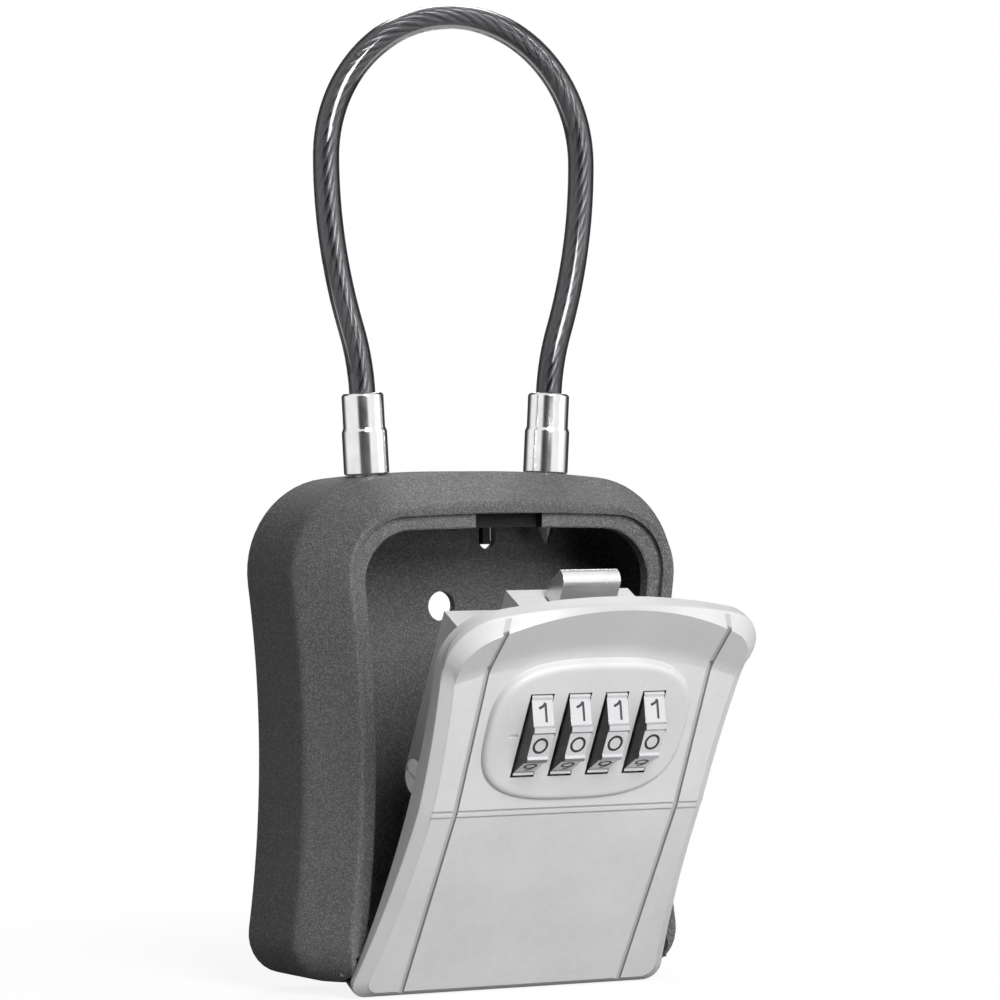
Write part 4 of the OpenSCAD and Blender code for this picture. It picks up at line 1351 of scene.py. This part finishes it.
    def squircle(self, grow: float, y: float) -> list[Vector]:
        """Returns the pad's outline, grown by a distance, as a ring."""
        wide, high = self.pad_half[0] + grow, self.pad_half[1] + grow
        power, ring = 2 / self.pad_power, []
        for i in range(self.pad_corners):
            angle = math.tau * i / self.pad_corners
            c, s = math.cos(angle), math.sin(angle)
            ring.append(Vector((math.copysign(abs(c) ** power, c) * wide, y,
                                DIAL_Z_MM + self.pad_rise + math.copysign(abs(s) ** power, s) * high)))
        return ring

    def pad(self) -> bmesh.types.BMesh:
        """Lofts the raised pad round the windows with soft edges.

        Returns:
            The solid.
        """
        grow, depth = self.pad_foot
        rings = [self.squircle(grow, depth - self.crest_proud + self.rim_y)]
        return loft(rings + [self.squircle(grow, self.pad_y + depth) for grow, depth in self.pad_edge])

    def upright_groove(self) -> bmesh.types.BMesh:
        """Returns what cuts one long groove up the face, on the right."""
        left, right = self.groove_x - self.groove_w / 2, self.groove_x + self.groove_w / 2
        corners = ((self.face_y(-self.cut), -self.cut), (self.crest_y(), self.crest_z),
                   (self.face_y(self.top_z), self.top_z))
        before = [(y - self.cut, z) for y, z in corners]
        behind = [(y + self.groove_d, z) for y, z in reversed(corners)]
        return prism(before + behind, left, right, "X")

    def brow_groove(self) -> bmesh.types.BMesh:
        """Returns what runs the same groove on over the brow."""
        left, right = self.groove_x - self.groove_w / 2, self.groove_x + self.groove_w / 2
        r0, r1 = self.brow_r0 - self.groove_ends[0], self.brow_r1 + self.groove_ends[1]
        foot, end, depth = self.face_y(self.top_z), self.brow_y(r1), self.groove_d
        ring = self.turned([(r0, foot + depth), (r1, end + depth), (r1, end - self.cut),
                            (r0, foot - self.cut)])
        strip = block((left, self.rim_y - self.groove_room, self.crest_z),
                      (right, self.rim_y + self.groove_room, self.height))
        return carve(ring, [(Cut.KEEP, strip)])

    def groove_tools(self) -> list[bmesh.types.BMesh]:
        """Returns what cuts the long grooves, up the face and over the brow, and the pair at the crest."""
        up, over = self.upright_groove(), self.brow_groove()
        tools = [up, mirrored(up), over, mirrored(over)]
        for side in (-self.cross_apart, self.cross_apart):
            z = self.crest_z + side
            tools.append(block((-self.height, self.crest_y() - self.cut, z - self.cross_half_w),
                               (self.height, self.crest_y() + self.cross_d, z + self.cross_half_w)))
        return tools

    def opening_tools(self) -> list[bmesh.types.BMesh]:
        """Returns what cuts the windows, the dials' room and the index marks."""
        half, high, before = self.window[0] / 2, self.window[1] / 2, self.pad_y - self.cut
        tools = []
        for x in dial_places():
            tools.append(block((x - half, before, DIAL_Z_MM - high),
                               (x + half, DIAL_Y_MM - self.window_back, DIAL_Z_MM + high)))
            tools.append(rod("X", self.swing_r, x - half, x + half, DIAL_Y_MM, DIAL_Z_MM, sides=128))
        low, top = (end * DIAL_PITCH_MM for end in self.flange_ends)
        tools.append(rod("X", self.flange_r, low, top, DIAL_Y_MM, DIAL_Z_MM, sides=96))
        wide, high, deep = self.mark
        for number in range(DIAL_COUNT + 1):
            x = (number - DIAL_COUNT / 2) * DIAL_PITCH_MM
            tools.append(block((x - wide / 2, before, DIAL_Z_MM - high / 2),
                               (x + wide / 2, self.pad_y + deep, DIAL_Z_MM + high / 2)))
        return tools

    def in_groove(self, at: Vector) -> bool:
        """Tells whether a face's middle lies in one of the grooves, whose faces get a painted shade.

        Args:
            at: the middle, in the closed door's millimetres.

        Returns:
            True in a groove.
        """
        depth = at.y - self.front_y(at.x, at.z)
        if not self.groove_shade < depth < 2 * self.groove_d:
            return False
        beside = abs(abs(at.x) - self.groove_x) < self.groove_w / 2 + NEAR_MM
        level = abs(abs(at.z - self.crest_z) - self.cross_apart) < self.cross_half_w + NEAR_MM
        on_face = math.hypot(at.x, at.z - self.brow_mid_z) < self.brow_r1 - self.groove_ends[0]
        return beside and on_face or level and abs(at.x) < self.groove_x + self.cross_beyond

    def in_window(self, at: Vector) -> bool:
        """Tells whether a face's middle lies in one of the dial windows' walls, which get a painted shade.

        Args:
            at: the middle, in the closed door's millimetres.

        Returns:
            True in a window.
        """
        wide, high = self.window
        deep = self.window_lit < at.y - self.pad_y < self.window_deep
        if not deep or abs(at.z - DIAL_Z_MM) > high / 2 + NEAR_MM:
            return False
        return any(abs(at.x - x) < wide / 2 + NEAR_MM for x in dial_places())

    def fittings(self) -> list[bmesh.types.BMesh]:
        """Returns the hinge ears and the screw posts."""
        x0, x1, radius = self.ear
        y, z = HINGE_Y_MM, HINGE_Z_MM
        low, high = self.ear_root_z
        arm = prism([(y, z - radius), (y, z + radius), (self.face_y(high) + self.cut, high),
                     (self.face_y(low) + self.cut, z - radius)], x0, x1, "X")
        knuckle = rod("X", radius, x0, x1, y, z)
        x, z, radius = self.post
        post = rod("Y", radius, self.face_y(z) + self.cut, self.case_back_y - self.post_gap, x, z, sides=48)
        parts = [arm, knuckle, post]
        return parts + [mirrored(part) for part in parts]

    def bores(self) -> list[bmesh.types.BMesh]:
        """Returns the bores for the case screws and the hinge pins."""
        x, z, _ = self.post
        radius, deep = self.post_bore
        bore = rod("Y", radius, self.case_back_y - deep, self.case_back_y + self.cut, x, z, sides=32)
        pin = rod("X", self.pin_r, self.ear[0] - self.cut, self.ear[1] + self.cut, HINGE_Y_MM, HINGE_Z_MM,
                  sides=48)
        return [bore, mirrored(bore), pin, mirrored(pin)]

    def build(self, shop: Workshop) -> None:
        """Builds the door and lets it stand for its CAD node.

        Args:
            shop: makes the piece.
        """
        base = carve(self.edge(), [(Cut.KEEP, self.profile()), (Cut.REMOVE, self.hollow()),
                                   (Cut.REMOVE, self.seat())])
        brow = carve(self.edge(), [(Cut.KEEP, self.brow())])
        bmesh.ops.scale(brow, vec=(self.brow_inset, 1, 1), verts=brow.verts)
        steps = [(Cut.JOIN, part) for part in (brow, self.pad(), *self.fittings())]
        steps += [(Cut.REMOVE, tool) for tool in self.opening_tools() + self.groove_tools() + self.bores()]
        bm = carve(base, steps)
        # Painted shade: darker door paint in the grooves, near black on the dial windows' walls
        for face in bm.faces:
            at = face.calc_center_median()
            face.material_index = 2 if self.in_window(at) else int(self.in_groove(at))
        bm.transform(door_matrix())
        piece = shop.object_from("door_shell", bm, shop.materials[Slot.DOOR], shop.groove, shop.gap_painted_shade)
        even_normals(piece)
        shop.place(piece, "door", Slot.DOOR, "door_cover")


def ring_matrix(centre: Vector, along: Vector) -> Matrix:
    """Places a circle square to a path that runs near the XZ plane.

    Args:
        centre: the middle of the circle.
        along: the path's direction there.

    Returns:
        The move from the XY plane to that place.
    """
    z_axis = along.normalized()
    x_axis = Vector((0, 1, 0)).cross(z_axis).normalized()
    turn = Matrix((x_axis, z_axis.cross(x_axis), z_axis)).transposed().to_4x4()
    return Matrix.Translation(centre) @ turn


def heading_at(path: list[Vector], i: int) -> Vector:
    """Returns the way from the point before the i-th of a path to the one after it."""
    return path[min(i + 1, len(path) - 1)] - path[max(i - 1, 0)]


def add_to(bm: bmesh.types.BMesh, other: bmesh.types.BMesh) -> None:
    """Copies a bmesh into another one and frees it.

    Args:
        bm: the mesh that grows.
        other: the mesh that is copied.
    """
    mesh = mesh_from("carried", other)
    bm.from_mesh(mesh)
    bpy.data.meshes.remove(mesh)


def sweep(centres: list[Vector], radius: float, sides: int, bore: float = 0.0) -> bmesh.types.BMesh:
    """Sweeps a circle, or a ring with a bore, along a path and closes its ends.

    Args:
        centres: the path's points.
        radius: the circle's radius.
        sides: the circle's corners.
        bore: the bore's radius, or 0 for a solid rod.

    Returns:
        The closed mesh.
    """
    bm = bmesh.new()
    ends = []
    for size in (radius, bore) if bore else (radius,):
        loops = []
        for i, centre in enumerate(centres):
            made = bmesh.ops.create_circle(bm, segments=sides, radius=size,
                                           matrix=ring_matrix(centre, heading_at(centres, i)))
            loops.append(list({e for v in made["verts"] for e in v.link_edges}))
            if i:
                bmesh.ops.bridge_loops(bm, edges=loops[-2] + loops[-1])
        ends.append((loops[0], loops[-1]))
    if bore:
        for outer, inner in zip(*ends):
            bmesh.ops.bridge_loops(bm, edges=outer + inner)
    else:
        bmesh.ops.holes_fill(bm, edges=ends[0][0] + ends[0][1], sides=sides)
    bmesh.ops.recalc_face_normals(bm, faces=bm.faces)
    return bm


@dataclass
class Shackle:
    """Cable shackle: wound steel strands inside a smoky see-through sheath."""

    leg_y_mm: float = LEG_Y_MM
    mouth_mm: Point = (24.735, 128.73)
    lean_deg: float = 3.2
    socket_mm: float = 7.8
    swell_deg: float = 18.0
    swell_r_mm: float = 60.0
    return_r_mm: float = 130.0
    cable_r_mm: float = 3.1
    bore_r_mm: float = 2.15
    wire_r_mm: float = 0.62
    wire_gap_mm: float = 0.05
    heart_r_mm: float = 1.05
    wires: int = 6
    lay_mm: float = 24.0
    step_mm: float = 1.5
    sides: int = 28
    wire_sides: int = 12

    def leg_turns(self) -> list[Point]:
        """Returns the leg's stretches as pairs of length in millimetres and turn in degrees."""
        out_deg = self.swell_deg - self.lean_deg
        return [(self.socket_mm, 0.0), (math.radians(out_deg) * self.swell_r_mm, out_deg),
                (math.radians(self.swell_deg) * self.return_r_mm, -self.swell_deg)]

    def centreline(self) -> list[Vector]:
        """Walks the cable from the right ferrule to the left one.

        Returns:
            Points on the centreline, in body millimetres.
        """
        x, z = self.mouth_mm
        heading = math.radians(self.lean_deg)
        leg = [(x, z)]
        for length, turn in self.leg_turns():
            steps = max(2, round(length / self.step_mm))
            for _ in range(steps):
                heading += math.radians(turn) / steps / 2
                x += math.sin(heading) * length / steps
                z += math.cos(heading) * length / steps
                heading += math.radians(turn) / steps / 2
                leg.append((x, z))
        steps = round(math.pi * x / self.step_mm)
        turns = [math.pi * i / steps for i in range(1, steps)]
        top = [(x * math.cos(a), z + x * math.sin(a)) for a in turns]
        whole = leg + top + [(-px, pz) for px, pz in reversed(leg)]
        return [Vector((px, self.leg_y_mm, pz)) for px, pz in whole]

    def wire_path(self, line: list[Vector], number: int) -> list[Vector]:
        """Winds one wire round the centreline.

        Args:
            line: the centreline.
            number: which wire it is.

        Returns:
            The wire's own points.
        """
        reach = self.bore_r_mm - self.wire_r_mm - self.wire_gap_mm
        forward = Vector((0, 1, 0))
        run = 0.0
        wound = []
        for i, point in enumerate(line):
            run += (point - line[i - 1]).length if i else 0.0
            side = forward.cross(heading_at(line, i).normalized()).normalized()
            angle = math.tau * (run / self.lay_mm + number / self.wires)
            wound.append(point + reach * (side * math.cos(angle) + forward * math.sin(angle)))
        return wound

    def build(self, shop: Workshop) -> None:
        """Builds the heart, the strands and the sheath.

        Args:
            shop: makes the pieces.
        """
        line = self.centreline()
        move = body_matrix()
        bm = sweep(line, self.heart_r_mm, self.wire_sides * 2)
        bm.transform(move)
        heart = shop.object_from("cable_heart", bm, shop.materials[Slot.PLASTIC])
        shop.place(heart, "housing", None)
        bm = bmesh.new()
        for number in range(self.wires):
            add_to(bm, sweep(self.wire_path(line, number), self.wire_r_mm, self.wire_sides))
        bm.transform(move)
        strands = shop.object_from("cable_strands", bm, shop.materials[Slot.STRAND])
        shop.place(strands, "housing", Slot.STRAND, "cable_core")
        bm = sweep(line, self.cable_r_mm, self.sides, self.bore_r_mm)
        bm.transform(move)
        sheath = shop.object_from("cable_sheath_tube", bm, shop.materials[Slot.VINYL])
        shop.place(sheath, "housing", Slot.VINYL, "cable_sheath")


def bow(x: float, y: float, wide: float, high: float, first: float = 0.0, last: float = CLOSED_DEG,
        steps: int = 20) -> list[Point]:
    """Draws part of an oval.

    Args:
        x: the centre.
        y: the centre.
        wide: half its width.
        high: half its height.
        first: the first angle in degrees.
        last: the last angle in degrees.
        steps: the steps between them.

    Returns:
        The points.
    """
    turns = [math.radians(first + (last - first) * i / steps) for i in range(steps + 1)]
    return [(x + wide * math.cos(t), y + high * math.sin(t)) for t in turns]


@dataclass
class Digits:
    """Plain digits filled with black, one on each flat of each dial, drawn as round-ended strokes."""

    flats: int = 10
    flat_r_mm: float = 12.1
    stroke_mm: float = 0.34
    stroke_sides: int = 12
    proud_mm: float = 0.05
    sunk_mm: float = 0.1

    def strokes(self, digit: int) -> list[list[Point]]:
        """Returns the strokes of a digit in millimetres, centred on its flat."""
        six = [bow(0.0, -0.7, 1.4, 1.1, steps=30), bow(1.0, -0.7, 2.4, 2.5, 180, 108)]
        nine = [[(-x, -y) for x, y in line] for line in six]
        return {
            0: [bow(0.0, -0.1, 1.65, 1.75, steps=36)],
            1: [[(-0.95, 1.05), (0.1, 1.55), (0.75, 2.3)], [(0.75, 2.3), (0.75, 0.2), (0.75, -2.1)]],
            2: [bow(0.0, 0.65, 1.4, 1.15, 165, -30) + [(-1.4, -1.8), (1.45, -1.8)]],
            3: [bow(0.0, 0.9, 1.25, 0.9, 150, -90), bow(0.0, -0.9, 1.45, 0.9, 90, -150)],
            4: [[(0.6, -1.85), (0.6, 1.8), (-1.5, -0.75), (1.5, -0.75)]],
            5: [[(1.2, 1.8), (-1.0, 1.8), (-1.2, 0.1)] + bow(0.0, -0.6, 1.45, 1.2, 145, -150)],
            6: six,
            7: [[(-1.4, 1.8), (1.45, 1.8), (-0.4, -1.85)]],
            8: [bow(0.0, 0.9, 1.15, 0.9, steps=30), bow(0.0, -0.9, 1.45, 0.9, steps=30)],
            9: nine,
        }[digit]

    def glyph(self, digit: int) -> bmesh.types.BMesh:
        """Makes one digit as flattened round strokes in the XZ plane.

        Args:
            digit: the number to draw.

        Returns:
            The digit in millimetres.
        """
        bm = bmesh.new()
        for line in self.strokes(digit):
            add_to(bm, sweep([Vector((x, 0.0, y)) for x, y in line], self.stroke_mm, self.stroke_sides))
        half_depth = (self.proud_mm + self.sunk_mm) / 2
        bm.transform(Matrix.Diagonal((1.0, half_depth / self.stroke_mm, 1.0, 1.0)))
        return bm

    def build(self, shop: Workshop) -> None:
        """Builds the digits of every dial; each dial's digits are one piece that turns with it.

        Args:
            shop: makes the pieces.
        """
        glyphs = [self.glyph(digit) for digit in range(self.flats)]
        out = Matrix.Translation((0, -self.flat_r_mm - (self.proud_mm - self.sunk_mm) / 2, 0))
        for number, x in enumerate(dial_places(), 1):
            hub = door_matrix() @ Matrix.Translation((x, DIAL_Y_MM, DIAL_Z_MM))
            bm = bmesh.new()
            for digit, glyph in enumerate(glyphs):
                turn = Matrix.Rotation(math.radians(-360 / self.flats * digit), 4, "X")
                copy = glyph.copy()
                copy.transform(hub @ turn @ out)
                add_to(bm, copy)
            piece = shop.object_from(f"dial_{number}_digits", bm, shop.ink)
            shop.place(piece, f"dial_{number}", None)
        for glyph in glyphs:
            glyph.free()


@dataclass(frozen=True)
class Lamp:
    """Soft area lamp that points at the object."""

    name: str
    watts: float
    size: float
    at: Place
    mirrored: bool = True

    AIM = Vector((0, 0, 0.03))

    def build(self) -> None:
        """Adds the lamp, which shiny surfaces show only if it is mirrored."""
        data = bpy.data.lights.new(self.name, "AREA")
        data.energy, data.size = self.watts, self.size
        lamp = put_in_scene(self.name, data)
        lamp.visible_glossy = self.mirrored
        spot = Vector(self.at)
        turn = (self.AIM - spot).to_track_quat("-Z", "Y").to_matrix().to_4x4()
        lamp.matrix_world = Matrix.Translation(spot) @ turn


@dataclass
class Stage:
    """Floor, lights and the camera at the photograph's viewing angle."""

    # Camera, worked out from the photograph
    camera_mm: Place = (-541.42, -1021.24, 118.72)
    back: Place = (-0.48003, -0.87723, 0.00665)
    roll_deg: float = 0.29
    view_deg: float = 11.854
    sensor_mm: float = 36.0
    clip: Point = (0.05, 20.0)
    # Floor, with its tones for the camera, for light and in mirrors, and how far each change reaches
    floor_half: float = 0.8
    floor_gap: float = 0.0002
    floor_rough: float = 0.9
    floor_seen: float = 0.9
    floor_lit: float = 0.4
    mirrored_near: float = 0.06
    mirrored_far: float = 0.7
    mirrored_reach: Point = (0.09, 0.115)
    white_reach: Point = (0.08, 0.22)
    white_near: float = 0.88
    # Surroundings, and the limits between which mirrors see them go dark ahead and behind
    world_light: float = 0.04
    card_dark: float = 0.05
    card_front: Point = (0.84, 0.93)
    card_behind: Point = (-0.6, -0.2)
    # Lamps as name, watts, size and place
    lamps: tuple[Lamp, ...] = (
        Lamp("key_front", 27.0, 0.6, (-0.15, -1.25, 0.6)),
        Lamp("fill_right", 3.0, 0.9, (1.2, -0.8, 0.5)),
        Lamp("fill_low", 8.0, 0.5, (0.25, -1.2, -0.02), mirrored=False),
        Lamp("rim_behind", 9.0, 0.6, (0.5, 0.9, 0.9)),
    )

    def camera(self) -> None:
        """Adds the camera and makes it the scene's own."""
        data = bpy.data.cameras.new("photo_camera")
        data.sensor_width = self.sensor_mm
        data.lens = self.sensor_mm / 2 / math.tan(math.radians(self.view_deg / 2))
        data.clip_start, data.clip_end = self.clip
        camera = put_in_scene("photo_camera", data)
        x, y, z = self.camera_mm
        toward = -Vector(self.back).normalized()
        turn = toward.to_track_quat("-Z", "Y").to_matrix().to_4x4()
        roll = Matrix.Rotation(math.radians(-self.roll_deg), 4, "Z")
        camera.matrix_world = Matrix.Translation(Vector((x, y, z - ORIGIN_Z_MM)) * MM) @ turn @ roll
        bpy.context.scene.camera = camera

    def floor_material(self) -> bpy.types.Material:
        """Builds the floor's finish: white to the camera, dark near the object in its mirrored picture.

        Returns:
            The material.
        """
        material, t, shader = start_material("pale_floor")
        paths = t.add("LightPath")
        span = t.add("VectorMath", operation="LENGTH", Vector=t.coordinates()).outputs["Value"]
        mirrored_tone = t.mix(t.spread(span, *self.mirrored_reach), grey(self.mirrored_near),
                              grey(self.mirrored_far))
        dim = t.mix(paths.outputs["Is Glossy Ray"], grey(self.floor_lit), mirrored_tone)
        t.put(shader, "Base Color", t.mix(paths.outputs["Is Camera Ray"], dim, grey(self.floor_seen)))
        t.put(shader, "Roughness", self.floor_rough)
        white = t.spread(span, *self.white_reach, self.white_near, 1.0)
        glow = t.add("Emission", Strength=1.0)
        both = t.add("MixShader", Fac=t.math("MULTIPLY", t.seen_directly(paths), white))
        t.feed(both.inputs[1], shader.outputs[0])
        t.feed(both.inputs[2], glow.outputs[0])
        out = next(n for n in t.tree.nodes if n.type == "OUTPUT_MATERIAL")
        t.put(out, "Surface", both.outputs[0])
        return material

    def floor(self, height: float) -> None:
        """Adds the pale floor just under the object.

        Args:
            height: the lowest point of the object.
        """
        bm = bmesh.new()
        bmesh.ops.create_grid(bm, x_segments=1, y_segments=1, size=self.floor_half,
                              matrix=Matrix.Translation((0, 0, height - self.floor_gap)))
        floor = put_in_scene("floor", mesh_from("floor", bm))
        floor.data.materials.append(self.floor_material())
        floor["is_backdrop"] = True

    def world(self) -> None:
        """Adds the surroundings.

        They are white to the camera, dim as a light, and white only at the sides in shiny surfaces.
        """
        world = bpy.data.worlds.new("studio")
        world.use_nodes = True
        bpy.context.scene.world = world
        t = NodeTree(world.node_tree)
        lit = next(n for n in world.node_tree.nodes if n.type == "BACKGROUND")
        t.put(lit, "Color", grey(1.0))
        paths = t.add("LightPath")
        glossy = paths.outputs["Is Glossy Ray"]
        plain = t.spread(t.seen_directly(paths), 0.0, 1.0, self.world_light, 1.0)
        toward = t.add("VectorMath", operation="DOT_PRODUCT", Vector=t.add("NewGeometry").outputs["Incoming"])
        t.feed(toward.inputs[1], Vector((-self.back[0], -self.back[1], 0.0)).normalized())
        facing = toward.outputs["Value"]
        front = t.spread(facing, *self.card_front, 1.0, self.card_dark)
        behind = t.spread(facing, *self.card_behind, self.card_dark, 1.0)
        mirrored_light = t.math("MULTIPLY", t.math("MINIMUM", front, behind), glossy)
        rest = t.math("MULTIPLY", plain, t.math("SUBTRACT", 1.0, glossy))
        t.put(lit, "Strength", t.math("ADD", rest, mirrored_light))

    def build(self, lowest: float) -> None:
        """Builds the whole stage.

        Args:
            lowest: the lowest point of the object.
        """
        bpy.context.scene.view_settings.view_transform = "Standard"
        self.camera()
        self.floor(lowest)
        self.world()
        for lamp in self.lamps:
            lamp.build()


@dataclass
class Mechanism:
    """Every small turned, stamped and moulded part: copies of the CAD solids with rounded edges."""

    radius_mm: float = 0.18
    fine_radius_mm: float = 0.08
    bolt_radius_mm: float = 0.4
    bolt_segments: int = 3
    side_limit: float = 0.9

    CAST = ("lock_case", "back_plate", "reset_button", "shackle_catch")
    FINE = ("hinge_pins", "ferrule_left", "ferrule_right", "stem_left", "stem_right", "stem_clip",
            "case_screws", "dial_spindle", "spindle_clip", "spindle_bushes", "detent_spring", "lock_slide",
            "slide_rivets", "shift_comb")

    def build(self, shop: Workshop) -> None:
        """Rounds the edges of each part.

        Args:
            shop: makes the pieces.
        """
        for node in self.CAST:
            shop.soften(node, self.radius_mm)
        bolt = shop.soften("latch_bolt", self.bolt_radius_mm, self.bolt_segments)
        bolt.data.materials[0] = shop.bolt_metal
        for node in self.FINE:
            shop.soften(node, self.fine_radius_mm)
        for number in range(1, DIAL_COUNT + 1):
            self.paint_side_shade(shop, shop.soften(f"dial_{number}", self.fine_radius_mm))
            shop.soften(f"clutch_sleeve_{number}", self.fine_radius_mm)
        shop.soften("latch_springs", 0.0)

    def paint_side_shade(self, shop: Workshop, dial: bpy.types.Object) -> None:
        """Gives a dial's flat sides a near-black painted shade, standing in for the shadow in the gap beside
        the dial.

        Args:
            shop: holds the material.
            dial: the finished dial.
        """
        dial.data.materials.append(shop.gap_painted_shade)
        for face in dial.data.polygons:
            if abs(face.normal.x) > self.side_limit:
                face.material_index = 1


def main() -> None:
    """Loads the frame and builds every piece in order."""
    logging.basicConfig(level=logging.INFO, format="%(message)s")
    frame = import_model()
    cad_low, cad_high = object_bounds()
    shop = Workshop(frame)
    Stage().build(cad_low.z)
    HousingShell().build(shop)
    DoorShell().build(shop)
    Shackle().build(shop)
    Digits().build(shop)
    Mechanism().build(shop)


if __name__ == "__main__":
    main()
